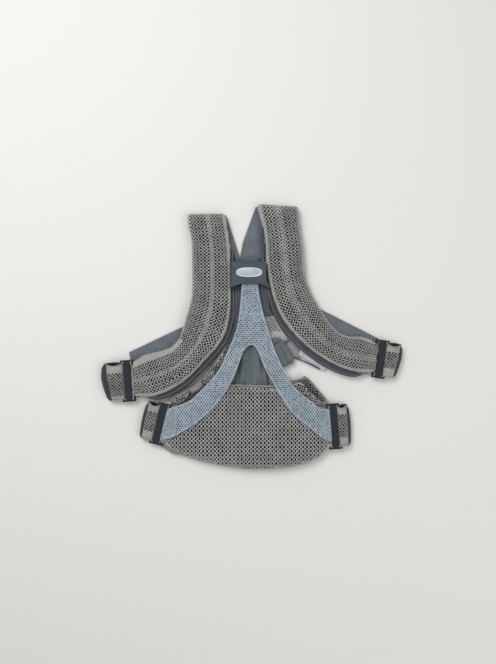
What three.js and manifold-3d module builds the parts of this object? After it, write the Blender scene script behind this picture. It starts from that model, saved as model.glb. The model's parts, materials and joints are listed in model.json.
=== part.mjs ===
// A soft baby carrier lying flat, back of the harness up: two padded mesh shoulder straps folded over at
// the shoulder, cross straps beneath them, a sliding yoke with an oval badge, an inverted-Y back brace, a
// padded lumbar panel over the seat pouch, and four hinged end buckles with mesh sleeves.
// Millimetres, +Z up, +Y towards the shoulders, the underside at z = 0, the origin below the middle.

import * as THREE from "three";
import { mergeVertices } from "three/addons/utils/BufferGeometryUtils.js";
import Module from "manifold-3d";

const wasm = await Module();
wasm.setup();

// ---------------------------------------------------------------- driving dimensions

const EDGE_POINTS = 14; // points kept along each long curved edge

const CROSS_LOW = [0, 3]; // heights of the lower cross strap
const CROSS_HIGH = [3.5, 6.5]; // heights of the upper cross strap
const STRAP_LINING = [7, 8.5];
const STRAP_FOAM = [8.8, 15.8];
const STRAP_COVER = [16.1, 19.1];
const BINDING = [9, 17];
const BINDING_WIDTH = 9;
const FOAM_INSET = 0.045; // share of the strap's width left free on each side of the foam

const SEAT_MESH = [0, 5];
const SEAT_LINING = [5.4, 7.4];
const HEAD_MESH = [7, 11];
const HEAD_LINING = [11.4, 12.9];
const FLAP = [8, 15];
const LUMBAR_LINING = [9, 10.5];
const LUMBAR_STIFFENER = [10.8, 12.8];
const LUMBAR_FOAM = [13.1, 17];
const LUMBAR_COVER = [17.3, 20.3];
const LUMBAR_HEM = [12, 20.3];
const BRACE = [20.6, 23.1];

const YOKE_PLATE = [16.5, 19.6];
const YOKE_COVER = [20, 26.4];
const YOKE_SLOT_TOP = 23.4;
const YOKE_SLOT = { left: -19.5, right: 11.5, end: 126 };
const BADGE = { x: -5, y: 111, length: 45, width: 16.6, low: 26.7, high: 27.9 };

const HINGE_Z = 11.5; // height of each buckle's inner rod, which it turns on
const ROD = 2; // half the width of the inner rod
const BAR = { start: 5, end: 16, low: 8.5, high: 14.9 }; // the broad middle bar, measured out from the rod
const OUTER_ROD = { start: 19.6, end: 22 };
const FRAME_THICK = 3;
const CHEEK = 3; // width of the frame's two end pieces
const SLEEVE = { start: 17, low: 0, high: 15.4, wall: 2.2 };
const SLEEVE_CLEAR = 1.5; // the sleeve ends this far short of each cheek
const TRIM = { gap: 0.4, width: 5, low: 4, high: 11.5, bulge: 2.5 };

// ---------------------------------------------------------------- materials

function cloth(color) {
  return new THREE.MeshStandardMaterial({ color, roughness: 0.95, metalness: 0 });
}

const MATERIALS = {
  taupeMesh: cloth("#8a887c"),
  paleMesh: cloth("#a9b5be"),
  lining: cloth("#6f767b"),
  seatLining: cloth("#5c6361"),
  binding: cloth("#45464e"),
  foam: cloth("#c9c7bd"),
  label: cloth("#e6e6e2"),
  plate: new THREE.MeshStandardMaterial({ color: "#4b4e55", roughness: 0.6, metalness: 0 }),
  board: new THREE.MeshStandardMaterial({ color: "#3d3f42", roughness: 0.5, metalness: 0 }),
  badge: new THREE.MeshStandardMaterial({ color: "#d3dae0", roughness: 0.3, metalness: 0 }),
};

// ---------------------------------------------------------------- geometry helpers

function curvePoints(points, count) {
  const path = points.map(([x, y]) => new THREE.Vector3(x, y, 0));
  const curve = new THREE.CatmullRomCurve3(path, false, "centripetal");
  return curve.getSpacedPoints(count).map((p) => new THREE.Vector2(p.x, p.y));
}

function offsetPoints(points, distance) {
  return points.map((p, i) => {
    const before = points[Math.max(i - 1, 0)];
    const after = points[Math.min(i + 1, points.length - 1)];
    const along = after.clone().sub(before).normalize();
    return new THREE.Vector2(p.x - along.y * distance, p.y + along.x * distance);
  });
}

function slab(outline, [low, high]) {
  const shape = new THREE.Shape(outline);
  const geometry = new THREE.ExtrudeGeometry(shape, { depth: high - low, bevelEnabled: false });
  geometry.translate(0, 0, low);
  return geometry;
}

function corners(list) {
  return list.map(([x, y]) => new THREE.Vector2(x, y));
}

function box(x0, x1, y0, y1, z0, z1) {
  const geometry = new THREE.BoxGeometry(x1 - x0, y1 - y0, z1 - z0);
  geometry.translate((x0 + x1) / 2, (y0 + y1) / 2, (z0 + z1) / 2);
  return geometry;
}

function solid(geometry) {
  const bare = geometry.clone();
  bare.deleteAttribute("normal");
  bare.deleteAttribute("uv");
  const merged = mergeVertices(bare, 1e-4);
  const mesh = { numProp: 3 };
  mesh.vertProperties = new Float32Array(merged.attributes.position.array);
  mesh.triVerts = new Uint32Array(merged.index.array);
  return new wasm.Manifold(new wasm.Mesh(mesh));
}

function geometryOf(manifold) {
  const mesh = manifold.getMesh();
  const geometry = new THREE.BufferGeometry();
  geometry.setAttribute("position", new THREE.BufferAttribute(mesh.vertProperties, 3));
  geometry.setIndex(new THREE.BufferAttribute(mesh.triVerts, 1));
  geometry.computeVertexNormals();
  return geometry;
}

function add(group, name, geometry, material) {
  const mesh = new THREE.Mesh(geometry, material);
  mesh.name = name;
  group.add(mesh);
  return mesh;
}

// A strap is the strip between two long edges. `across` runs from 0 at the outer edge to 1 at the inner one.
function stripOutline(outer, inner, across0, across1) {
  const near = outer.map((p, i) => p.clone().lerp(inner[i], across0));
  const far = outer.map((p, i) => p.clone().lerp(inner[i], across1));
  return near.concat(far.reverse());
}

// ---------------------------------------------------------------- shoulder straps

const LEFT_OUTER = [
  [-112, 207], [-107, 166], [-106, 95], [-107, 68], [-118, 32], [-127, -1], [-140, -18], [-205, -38],
];
const LEFT_INNER = [
  [-46, 207], [-37, 149], [-36, 95], [-36, 68], [-39, 32], [-50, -6], [-80, -41], [-112, -75],
  [-140, -94], [-170, -106], [-201, -109],
];
const RIGHT_OUTER = [
  [80, 219], [91, 149], [93, 113], [102, 83], [118, 54], [141, 19], [164, 0], [190, -2], [214, -5],
];
const RIGHT_INNER = [
  [12, 219], [21, 179], [22, 149], [27, 104], [33, 77], [49, 36], [77, -1], [100, -22], [130, -43],
  [161, -58], [184, -64], [206, -67],
];
const BINDING_TOP_Y = 83;
const BINDING_END_X = { left: 160, right: 200 };

function shoulderStrap(group, side, outerPoints, innerPoints) {
  const outer = curvePoints(outerPoints, EDGE_POINTS);
  const inner = curvePoints(innerPoints, EDGE_POINTS);
  const whole = stripOutline(outer, inner, 0, 1);
  const reduced = stripOutline(outer, inner, FOAM_INSET, 1 - FOAM_INSET);
  add(group, `${side}_strap_cover`, slab(whole, STRAP_COVER), MATERIALS.taupeMesh);
  add(group, `${side}_strap_foam`, slab(reduced, STRAP_FOAM), MATERIALS.foam);
  add(group, `${side}_strap_lining`, slab(whole, STRAP_LINING), MATERIALS.lining);
}

// The dark binding follows the inner edge of the strap, just outside it, from the yoke to the buckle.
function strapBinding(group, side, innerPoints, sign) {
  const below = innerPoints.filter(([x, y]) => y < BINDING_TOP_Y && Math.abs(x) < BINDING_END_X[side]);
  const first = side === "left" ? [-36, BINDING_TOP_Y] : [31.5, BINDING_TOP_Y];
  const edge = curvePoints([first, ...below], EDGE_POINTS);
  const near = offsetPoints(edge, sign * 0.8);
  const far = offsetPoints(edge, sign * (0.8 + BINDING_WIDTH));
  const outline = near.concat(far.reverse());
  add(group, `${side}_strap_binding`, slab(outline, BINDING), MATERIALS.binding);
}

// Where the strap turns over at the shoulder it is a padded half roll between front and back.
function shoulderFold(group, side, left, right, low) {
  const radius = (STRAP_COVER[1] - low) / 2;
  const shape = new THREE.Shape();
  shape.absarc(0, 0, radius, -Math.PI / 2, Math.PI / 2, false);
  shape.closePath();
  const length = Math.hypot(right[0] - left[0], right[1] - left[1]);
  const geometry = new THREE.ExtrudeGeometry(shape, {
    depth: length, bevelEnabled: false, curveSegments: 12,
  });
  // The half disc is drawn in (y, z) and its extrusion runs along x.
  geometry.applyMatrix4(new THREE.Matrix4().set(0, 0, 1, 0, 1, 0, 0, 0, 0, 1, 0, 0, 0, 0, 0, 1));
  const fold = add(group, `${side}_shoulder_fold`, geometry, MATERIALS.taupeMesh);
  fold.position.set(left[0], left[1], low + radius);
  fold.rotation.z = Math.atan2(right[1] - left[1], right[0] - left[0]);
}

function crossStraps(group) {
  const leftBack = corners([
    [-112, 207], [-92, 143], [-78, 84], [-4, 84], [-12, 108], [-23, 143], [-42, 207],
  ]);
  const rightBack = corners([
    [79, 219], [52, 140], [34, 84], [-38, 84], [-32, 100], [-21, 140], [-16, 166], [4, 219],
  ]);
  const leftWing = corners([
    [16, 83], [-12, 83], [-24, 77], [-122, 22], [-204, -24], [-203, -44], [-199, -100],
    [-122, -46], [-40, 6], [16, 36],
  ]);
  const rightWing = corners([
    [-2, 83], [50, 83], [119, 49], [170, 23], [214, -1], [213, -8], [205, -62], [119, -27],
    [40, 14], [-2, 38],
  ]);
  add(group, "left_back_strap", slab(leftBack, CROSS_HIGH), MATERIALS.lining);
  add(group, "right_back_strap", slab(rightBack, CROSS_LOW), MATERIALS.lining);
  add(group, "left_side_wing", slab(leftWing, CROSS_LOW), MATERIALS.lining);
  add(group, "right_side_wing", slab(rightWing, CROSS_HIGH), MATERIALS.lining);
}

function careLabel(group) {
  const outline = corners([[84, -24], [133, -55], [127, -66], [78, -35]]);
  add(group, "care_label", slab(outline, [5, 5.8]), MATERIALS.label);
}

// ---------------------------------------------------------------- yoke

function yoke(group) {
  const outline = corners([
    [-36, 130], [-36, 98], [-40, 84], [-19, 91], [12, 91], [32, 84], [25, 98], [24, 130],
  ]);
  const slot = box(YOKE_SLOT.left, YOKE_SLOT.right, 80, YOKE_SLOT.end, 18, YOKE_SLOT_TOP);
  const cover = solid(slab(outline, YOKE_COVER)).subtract(solid(slot));
  add(group, "yoke_cover", geometryOf(cover), MATERIALS.plate);

  const plate = corners([[-33, 128], [-33, 95], [20, 95], [20, 128]]);
  add(group, "yoke_back_plate", slab(plate, YOKE_PLATE), MATERIALS.plate);

  const oval = new THREE.Shape();
  oval.absellipse(0, 0, BADGE.length / 2, BADGE.width / 2, 0, 2 * Math.PI, false, 0);
  const button = new THREE.ExtrudeGeometry(oval, {
    depth: BADGE.high - BADGE.low, bevelEnabled: false, curveSegments: 32,
  });
  const badge = add(group, "yoke_badge", button, MATERIALS.badge);
  badge.position.set(BADGE.x, BADGE.y, BADGE.low);
}

// ---------------------------------------------------------------- back brace

const FOLD_Y = -24; // the lower section folds up about a line across the carrier here
const FOLD_GAP = 3; // each piece stops this far from that line

function brace(group) {
  const upper = FOLD_Y + FOLD_GAP;
  const lower = FOLD_Y - FOLD_GAP;
  const stemLeft = curvePoints([[-18, 116], [-18, 92], [-22, 42], [-27, 13], [-40, upper]], 8);
  const stemRight = curvePoints([[38, upper], [28, 13], [18, 46], [10, 92], [10, 116]], 8);
  const fork = corners([[-11, upper], [-7, -16.5], [-1, -15], [4, -16.5], [8, upper]]);
  const stem = stemLeft.concat(fork, stemRight);
  add(group.harness, "brace_stem", slab(stem, BRACE), MATERIALS.paleMesh);

  const leftOuter = curvePoints(
    [[-43, lower], [-51, -46], [-68, -72], [-91, -96], [-115, -117], [-139, -124]], EDGE_POINTS,
  );
  const leftInner = curvePoints(
    [[-154, -184], [-131, -172], [-94, -149], [-65, -122], [-39, -86], [-25, -54], [-16, lower]],
    EDGE_POINTS,
  );
  add(group.lower, "brace_left_leg", slab(leftOuter.concat(leftInner), BRACE), MATERIALS.paleMesh);

  const rightInner = curvePoints(
    [[11, lower], [22, -55], [41, -89], [59, -119], [86, -148], [113, -169], [132, -187]], EDGE_POINTS,
  );
  const rightOuter = curvePoints(
    [[127, -128], [118, -126], [104, -114], [86, -100], [66, -78], [54, -55], [41, lower]], EDGE_POINTS,
  );
  add(group.lower, "brace_right_leg", slab(rightInner.concat(rightOuter), BRACE), MATERIALS.paleMesh);
}

// ---------------------------------------------------------------- head support, seat pouch, lumbar panel

function headSupport(group) {
  const mesh = corners([[-26, 40], [-29, 20], [-37, -5], [-44, -21], [36, -21], [46, 8], [41, 24], [26, 40]]);
  const lining = corners([[-24, 38], [-27, 20], [-35, -5], [-42, -20], [20, -20], [22, 38]]);
  add(group, "head_support_mesh", slab(mesh, HEAD_MESH), MATERIALS.taupeMesh);
  add(group, "head_support_lining", slab(lining, HEAD_LINING), MATERIALS.seatLining);
}

function seatPouch(group) {
  const outer = corners([
    [-48, -27], [-46, -70], [-70, -100], [-118, -130], [-128, -180], [-80, -203], [0, -218],
    [70, -211], [112, -190], [106, -135], [70, -105], [40, -75], [42, -27],
  ]);
  const lining = corners([
    [-46, -27], [-45, -70], [-66, -100], [-112, -132], [-112, -180], [0, -200], [98, -185],
    [92, -135], [58, -105], [27, -90], [21, -27],
  ]);
  add(group, "seat_mesh_panel", slab(outer, SEAT_MESH), MATERIALS.taupeMesh);
  add(group, "seat_lining", slab(lining, SEAT_LINING), MATERIALS.seatLining);

  const leftFlap = corners([
    [-60, -56], [-66, -82], [-97, -103], [-134, -118], [-138, -111], [-110, -94], [-76, -60],
  ]);
  const rightFlap = corners([
    [66, -80], [84, -97], [100, -108], [127, -119], [132, -110], [105, -78], [92, -72],
  ]);
  const cornerTab = corners([[34, -27], [44, -56], [62, -56], [74, -42], [70, -27]]);
  add(group, "left_side_flap", slab(leftFlap, FLAP), MATERIALS.taupeMesh);
  add(group, "right_side_flap", slab(rightFlap, FLAP), MATERIALS.taupeMesh);
  add(group, "pouch_corner_tab", slab(cornerTab, [8, 13]), MATERIALS.seatLining);
}

function lumbarPanel(group) {
  const top = corners([[127, -130], [104, -120], [85, -108], [42, -90], [-44, -85], [-95, -108], [-139, -125]]);
  const arc = curvePoints(
    [[-154, -190], [-129, -205], [-87, -219], [-30, -230], [13, -233], [74, -228], [113, -215], [132, -197]],
    EDGE_POINTS,
  );
  const outline = top.concat(arc);
  const middle = new THREE.Vector2(-10, -160);
  const shrink = (share) => outline.map((p) => middle.clone().lerp(p, share));
  add(group, "lumbar_lining", slab(outline, LUMBAR_LINING), MATERIALS.lining);
  add(group, "lumbar_stiffener", slab(shrink(0.86), LUMBAR_STIFFENER), MATERIALS.board);
  add(group, "lumbar_foam", slab(shrink(0.94), LUMBAR_FOAM), MATERIALS.foam);
  add(group, "lumbar_cover", slab(outline, LUMBAR_COVER), MATERIALS.taupeMesh);

  const hem = corners([[-46, -80.5], [-46, -84.5], [44, -89.5], [44, -85.5]]);
  add(group, "lumbar_top_hem", slab(hem, LUMBAR_HEM), MATERIALS.taupeMesh);
}

// ---------------------------------------------------------------- end buckles

// A buckle is drawn with its inner rod along y at x = 0 and everything else out along +x.
function buckleFrame(length) {
  const half = length / 2;
  const rim = half + CHEEK;
  const low = HINGE_Z - FRAME_THICK / 2;
  const high = low + FRAME_THICK;
  const plate = solid(box(-ROD, OUTER_ROD.end, -rim, rim, low, high));
  const innerSlot = solid(box(ROD, BAR.start, -half, half, low - 1, high + 1));
  const outerSlot = solid(box(BAR.end, OUTER_ROD.start, -half, half, low - 1, high + 1));
  const bar = solid(box(BAR.start, BAR.end, -half - 1, half + 1, BAR.low, BAR.high));
  return geometryOf(plate.subtract(innerSlot).subtract(outerSlot).add(bar));
}

function buckleSleeve(length, width) {
  const half = length / 2 - SLEEVE_CLEAR;
  const end = SLEEVE.start + width;
  const { low, high, wall } = SLEEVE;
  const skin = solid(box(SLEEVE.start, end, -half, half, low, high));
  const tunnel = solid(
    box(SLEEVE.start + wall, end - wall, -half - 1, half + 1, low + wall, high - wall),
  );
  return geometryOf(skin.subtract(tunnel));
}

function buckleTrim(length, width) {
  const half = length / 2 - SLEEVE_CLEAR;
  const near = SLEEVE.start + width + TRIM.gap;
  const inner = new THREE.Vector2(near, 0);
  const bow = [-1, -0.5, 0, 0.5, 1].map(
    (t) => new THREE.Vector2(inner.x + TRIM.width + TRIM.bulge * (1 - t * t), t * half),
  );
  const outline = [new THREE.Vector2(near, -half), ...bow, new THREE.Vector2(near, half)];
  return slab(outline, [TRIM.low, TRIM.high]);
}

// The rod's two ends in plan give the buckle its place, its length and its turn.
function endBuckle(group, name, top, bottom, sleeveWidth, outward) {
  const dx = top[0] - bottom[0];
  const dy = top[1] - bottom[1];
  const length = Math.hypot(dx, dy);
  const holder = new THREE.Group();
  holder.position.set((top[0] + bottom[0]) / 2, (top[1] + bottom[1]) / 2, 0);
  const lean = Math.atan2(dx, dy);
  holder.rotation.z = outward > 0 ? -lean : Math.PI - lean;
  group.add(holder);
  add(holder, `${name}_buckle_frame`, buckleFrame(length), MATERIALS.plate);
  add(holder, `${name}_sleeve`, buckleSleeve(length, sleeveWidth), MATERIALS.taupeMesh);
  add(holder, `${name}_sleeve_trim`, buckleTrim(length, sleeveWidth), MATERIALS.binding);
}

// ---------------------------------------------------------------- assembly

const carrier = new THREE.Group();
const harness = new THREE.Group();
const lowerSection = new THREE.Group();
carrier.add(harness, lowerSection);

shoulderStrap(harness, "left", LEFT_OUTER, LEFT_INNER);
shoulderStrap(harness, "right", RIGHT_OUTER, RIGHT_INNER);
strapBinding(harness, "left", LEFT_INNER, 1);
strapBinding(harness, "right", RIGHT_INNER, -1);
shoulderFold(harness, "left", [-112, 208], [-45, 208], CROSS_HIGH[0]);
shoulderFold(harness, "right", [7, 223.5], [77, 219.5], CROSS_LOW[0]);
crossStraps(harness);
careLabel(harness);
yoke(harness);
brace({ harness, lower: lowerSection });
headSupport(harness);
seatPouch(lowerSection);
lumbarPanel(lowerSection);
endBuckle(harness, "left_shoulder", [-210, -44], [-205, -111], 31, -1);
endBuckle(harness, "right_shoulder", [220, -8], [211, -69], 22.3, 1);
endBuckle(lowerSection, "left_waist", [-143, -123], [-159, -189], 22, -1);
endBuckle(lowerSection, "right_waist", [131, -122], [137, -196], 18, 1);

export default carrier;
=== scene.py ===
"""The looks of the soft baby carrier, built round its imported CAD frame. Metres, +Z up."""

import json
import math

import bmesh
import bpy
import numpy as np
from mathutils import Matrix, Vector
from mathutils.bvhtree import BVHTree
from mathutils.geometry import delaunay_2d_cdt


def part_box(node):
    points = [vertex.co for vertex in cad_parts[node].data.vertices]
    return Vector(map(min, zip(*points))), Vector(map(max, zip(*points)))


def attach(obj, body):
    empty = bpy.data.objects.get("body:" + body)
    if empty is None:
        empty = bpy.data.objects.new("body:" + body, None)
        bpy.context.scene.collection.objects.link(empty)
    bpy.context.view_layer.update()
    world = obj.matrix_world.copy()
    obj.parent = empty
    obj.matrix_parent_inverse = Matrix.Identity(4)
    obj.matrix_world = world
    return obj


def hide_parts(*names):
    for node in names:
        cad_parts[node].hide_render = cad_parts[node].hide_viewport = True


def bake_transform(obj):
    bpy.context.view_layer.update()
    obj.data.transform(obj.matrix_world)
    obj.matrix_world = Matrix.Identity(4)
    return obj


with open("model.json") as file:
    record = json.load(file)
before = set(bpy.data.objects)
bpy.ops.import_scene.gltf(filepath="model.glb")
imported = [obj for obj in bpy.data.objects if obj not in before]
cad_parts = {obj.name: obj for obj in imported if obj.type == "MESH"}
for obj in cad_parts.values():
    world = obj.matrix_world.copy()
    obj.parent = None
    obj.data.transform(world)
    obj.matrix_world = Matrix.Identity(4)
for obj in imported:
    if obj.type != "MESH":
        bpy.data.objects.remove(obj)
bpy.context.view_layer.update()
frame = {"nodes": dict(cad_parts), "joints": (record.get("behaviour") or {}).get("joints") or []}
NODES = frame["nodes"]


# ---------------------------------------------------------------- materials


def nodes_of(name):
    material = bpy.data.materials.new(name)
    material.use_nodes = True
    tree = material.node_tree
    return material, tree, tree.nodes["Principled BSDF"]


def rgb(hex_code):
    channels = [int(hex_code[i : i + 2], 16) / 255 for i in (1, 3, 5)]
    linear = [c / 12.92 if c <= 0.04045 else ((c + 0.055) / 1.055) ** 2.4 for c in channels]
    return (*linear, 1.0)


def mix_colour(tree, factor, low, high):
    mix = tree.nodes.new("ShaderNodeMix")
    mix.data_type = "RGBA"
    tree.links.new(factor, mix.inputs[0])
    for socket, value in ((mix.inputs[6], low), (mix.inputs[7], high)):
        if isinstance(value, str):
            socket.default_value = rgb(value)
        else:
            tree.links.new(value, socket)
    return mix.outputs[2]


def noise(tree, vector, scale, detail=3.0, rough=0.6):
    node = tree.nodes.new("ShaderNodeTexNoise")
    node.inputs["Scale"].default_value = scale
    node.inputs["Detail"].default_value = detail
    node.inputs["Roughness"].default_value = rough
    tree.links.new(vector, node.inputs["Vector"])
    return node.outputs["Fac"]


def wave(tree, vector, scale, direction, distortion=0.4):
    node = tree.nodes.new("ShaderNodeTexWave")
    node.wave_type = "BANDS"
    node.bands_direction = direction
    node.inputs["Scale"].default_value = scale
    node.inputs["Distortion"].default_value = distortion
    node.inputs["Detail"].default_value = 1.0
    tree.links.new(vector, node.inputs["Vector"])
    return node.outputs["Fac"]


def maths(tree, operation, a, b):
    node = tree.nodes.new("ShaderNodeMath")
    node.operation = operation
    for socket, value in ((node.inputs[0], a), (node.inputs[1], b)):
        if isinstance(value, (int, float)):
            socket.default_value = value
        else:
            tree.links.new(value, socket)
    return node.outputs[0]


def ramp(tree, value, low, high):
    node = tree.nodes.new("ShaderNodeMapRange")
    node.inputs["From Min"].default_value = low
    node.inputs["From Max"].default_value = high
    tree.links.new(value, node.inputs["Value"])
    return node.outputs["Result"]


def bump(tree, shader, height, strength, distance):
    node = tree.nodes.new("ShaderNodeBump")
    node.inputs["Strength"].default_value = strength
    node.inputs["Distance"].default_value = distance
    tree.links.new(height, node.inputs["Height"])
    tree.links.new(node.outputs["Normal"], shader.inputs["Normal"])


def flat_vector(tree):
    """The cloth's own flat coordinates, in metres, kept as a UV map on each cloth piece."""
    node = tree.nodes.new("ShaderNodeUVMap")
    node.uv_map = "cloth"
    return node.outputs["UV"]


def world_vector(tree):
    return tree.nodes.new("ShaderNodeTexCoord").outputs["Object"]


def fabric(name, dark, light, thread, weave=2200.0, sheen=0.25, rough=0.9, bump_size=0.00025, patches=40.0):
    """A woven or knitted cloth: crossing threads, uneven dye and a soft sheen. The lighter thread colour laid
    along the threads is a painted highlight on the weave.
    """
    material, tree, shader = nodes_of(name)
    vector = flat_vector(tree)
    warp = wave(tree, vector, weave, "X")
    weft = wave(tree, vector, weave, "Y")
    threads = maths(tree, "MULTIPLY", warp, weft)
    place = world_vector(tree)
    dye = ramp(tree, noise(tree, place, patches, 4.0), 0.3, 0.7)
    fine = ramp(tree, noise(tree, place, 900.0, 2.0), 0.35, 0.75)
    base = mix_colour(tree, dye, dark, light)
    # The weave's threads take the lighter thread colour: a painted highlight.
    threads_painted_highlight = mix_colour(tree, maths(tree, "MULTIPLY", threads, fine), base, thread)
    tree.links.new(threads_painted_highlight, shader.inputs["Base Color"])
    shader.inputs["Roughness"].default_value = rough
    shader.inputs["Sheen Weight"].default_value = sheen
    shader.inputs["Sheen Roughness"].default_value = 0.5
    height = maths(tree, "ADD", threads, maths(tree, "MULTIPLY", fine, 0.5))
    bump(tree, shader, height, 0.6, bump_size)
    return material


def plastic(name, dark, light, rough, grain=700.0, coat=0.0):
    material, tree, shader = nodes_of(name)
    place = world_vector(tree)
    cloud = ramp(tree, noise(tree, place, 60.0, 5.0), 0.35, 0.7)
    tree.links.new(mix_colour(tree, cloud, dark, light), shader.inputs["Base Color"])
    shader.inputs["Roughness"].default_value = rough
    shader.inputs["Coat Weight"].default_value = coat
    bump(tree, shader, noise(tree, place, grain, 2.0), 0.25, 0.0002)
    return material


# Each cloth: its dark, light and thread colours (the thread colour a painted highlight on the threads), its
# threads' fineness, sheen, roughness and bump.
MESH_TAUPE = fabric("mesh_taupe", "#84847f", "#a0a09a", "#d0d0c8", 520.0, 0.2, 0.92, 0.0005)
MESH_PLAIN = fabric("mesh_plain", "#7b7b77", "#8d8d88", "#9d9d97", 1500.0, 0.2, 0.92, 0.0003)
MESH_LIGHT = fabric("mesh_light", "#8b98a1", "#a0adb7", "#bcc7cf", 700.0, 0.2, 0.88, 0.0004)
BRACE_BACKING = fabric("brace_backing", "#2c343c", "#3c464f", "#505b65", 1200.0, 0.1, 0.95, 0.0003)
LINING_GREY = fabric("lining_grey", "#565c61", "#686f75", "#787f86", 1700.0, 0.15, 0.85, 0.0002, 26.0)
LINING_GREEN = fabric("lining_green", "#484f51", "#636b6e", "#747b7e", 1700.0, 0.1, 0.9, 0.0002)
BINDING_DARK = fabric("binding_dark", "#2d2e35", "#3c3d45", "#52535d", 1500.0, 0.15, 0.8, 0.0003)
PIPING = fabric("piping", "#4c4d53", "#606168", "#787980", 1500.0, 0.15, 0.8, 0.0003)
# A darker copy of the taupe mesh for the side flaps: painted shade.
MESH_PAINTED_SHADE = fabric("mesh_painted_shade", "#595955", "#70706b", "#a0a099", 520.0, 0.15, 0.94, 0.0005)
# A darker copy of the lining, for the gaps beside the stem: painted shade.
LINING_PAINTED_SHADE = fabric("lining_painted_shade", "#3b4044", "#494f52", "#5b6063", 1500.0, 0.1, 0.92, 0.0003)
# Near-black trim: the sleeves' bound edges, and cords that paint the shade in the binding's groove and the
# shadow under the care label.
TRIM_DARK = fabric("trim_dark", "#22232a", "#303138", "#44454e", 1500.0, 0.15, 0.8, 0.0003)
# Near-black cloth for the pads, the flaps' cores and the sleeves' insides: painted shade seen through the
# mesh holes and in the sleeves.
PAD_PAINTED_SHADE = fabric("pad_painted_shade", "#0c0c0c", "#181818", "#202020", 900.0, 0.0, 1.0, 0.0003)
LABEL = fabric("label_white", "#989da4", "#b8bcc2", "#cfd2d6", 2000.0, 0.1, 0.7, 0.0001)
PLATE_DARK = plastic("plate_dark", "#30373f", "#3d454d", 0.6)
FRAME_DARK = plastic("frame_dark", "#0e1118", "#171a24", 0.75)
BADGE_WHITE = plastic("badge_white", "#98a2aa", "#b0b9c1", 0.3, 200.0, 0.4)
BADGE_RIM = plastic("badge_rim", "#c4ccd3", "#d6dce1", 0.35)


# ---------------------------------------------------------------- CAD outlines


def top_loop(node):
    """The outline of a flat CAD slab's top face, in order, as an (n, 2) array."""
    mesh = NODES[node].data
    points = np.array([v.co for v in mesh.vertices])
    level = points[:, 2].max()
    key = {}
    edges = {}
    for polygon in mesh.polygons:
        corners = list(polygon.vertices)
        if not all(abs(points[i, 2] - level) < 1e-5 for i in corners):
            continue
        keys = [tuple(np.round(points[i, :2], 6)) for i in corners]
        for i, k in zip(corners, keys):
            key[k] = points[i, :2]
        for a, b in zip(keys, keys[1:] + keys[:1]):
            if (b, a) in edges:
                del edges[(b, a)]
            else:
                edges[(a, b)] = True
    after = {a: b for a, b in edges}
    start = min(after)
    loop = [start]
    while after[loop[-1]] != start:
        loop.append(after[loop[-1]])
    return np.array([key[k] for k in loop])


def nearest(loop, point):
    return int(np.argmin(np.hypot(loop[:, 0] - point[0], loop[:, 1] - point[1])))


def arc_lengths(line):
    """How far along a flat or a 3-D line each of its points is."""
    steps = np.linalg.norm(np.diff(line, axis=0), axis=1)
    return np.concatenate([[0], np.cumsum(steps)])


def closed_up(loop):
    return np.vstack([loop, loop[:1]])


def resample(line, count):
    """count points evenly along a line."""
    length = arc_lengths(line)
    stops = np.linspace(0, length[-1], count)
    return np.stack([np.interp(stops, length, line[:, k]) for k in range(line.shape[1])], 1)


def smooth_line(line, rounds):
    line = line.copy()
    for _ in range(rounds):
        line[1:-1] = 0.25 * line[:-2] + 0.5 * line[1:-1] + 0.25 * line[2:]
    return line


def ease(share):
    """A soft step from 0 to 1."""
    return share * share * (3 - 2 * share)


def dome(share):
    """A quarter round: steep at 0, level at 1."""
    return np.sqrt(np.clip(1 - (1 - share) ** 2, 0, 1))


def to_segment(points, a, b):
    """For each point, how far along the line from a to b it lies as a share, and how far off it."""
    a, b = np.array(a), np.array(b)
    share = np.clip((points - a) @ (b - a) / ((b - a) @ (b - a)), 0, 1)
    return share, np.hypot(*(points - (a + share[:, None] * (b - a))).T)


def raised(points, heights, lift=0.0):
    """Plan points at their heights."""
    return [(p[0], p[1], z + lift) for p, z in zip(points, heights)]


# ---------------------------------------------------------------- mesh helpers


def new_object(name, vertices, faces, material, flat=None):
    mesh = bpy.data.meshes.new(name)
    mesh.from_pydata([tuple(v) for v in vertices], [], [tuple(f) for f in faces])
    mesh.update()
    piece = bpy.data.objects.new(name, mesh)
    bpy.context.scene.collection.objects.link(piece)
    mesh.materials.append(material)
    if flat is not None:
        layer = mesh.uv_layers.new(name="cloth")
        corners = np.zeros(len(mesh.loops), int)
        mesh.loops.foreach_get("vertex_index", corners)
        layer.data.foreach_set("uv", np.asarray(flat, float)[corners].ravel())
    mesh.shade_smooth()
    return piece


def apply_modifiers(piece):
    bpy.context.view_layer.update()
    depsgraph = bpy.context.evaluated_depsgraph_get()
    mesh = bpy.data.meshes.new_from_object(piece.evaluated_get(depsgraph))
    old = piece.data
    piece.modifiers.clear()
    piece.data = mesh
    bpy.data.meshes.remove(old)
    return piece


def thicken(piece, thickness):
    """Gives a cloth its thickness, on its inner side."""
    solid = piece.modifiers.new("thick", "SOLIDIFY")
    solid.thickness = thickness
    solid.offset = -1.0
    solid.use_even_offset = False
    return apply_modifiers(piece)


def grid_faces(rows, columns, closed=False):
    faces = []
    last = columns if closed else columns - 1
    for i in range(rows - 1):
        for j in range(last):
            k = (j + 1) % columns
            faces.append((i * columns + j, i * columns + k, (i + 1) * columns + k, (i + 1) * columns + j))
    return faces


def project_uv(piece):
    """Flat coordinates for a piece that has none, taken square to each face."""
    mesh = piece.data
    layer = mesh.uv_layers.get("cloth") or mesh.uv_layers.new(name="cloth")
    for polygon in mesh.polygons:
        n = polygon.normal
        axes = (1, 2) if abs(n.x) > 0.7 else (0, 2) if abs(n.y) > 0.7 else (0, 1)
        for corner in polygon.loop_indices:
            co = mesh.vertices[mesh.loops[corner].vertex_index].co
            layer.data[corner].uv = (co[axes[0]], co[axes[1]])
    return piece


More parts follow.
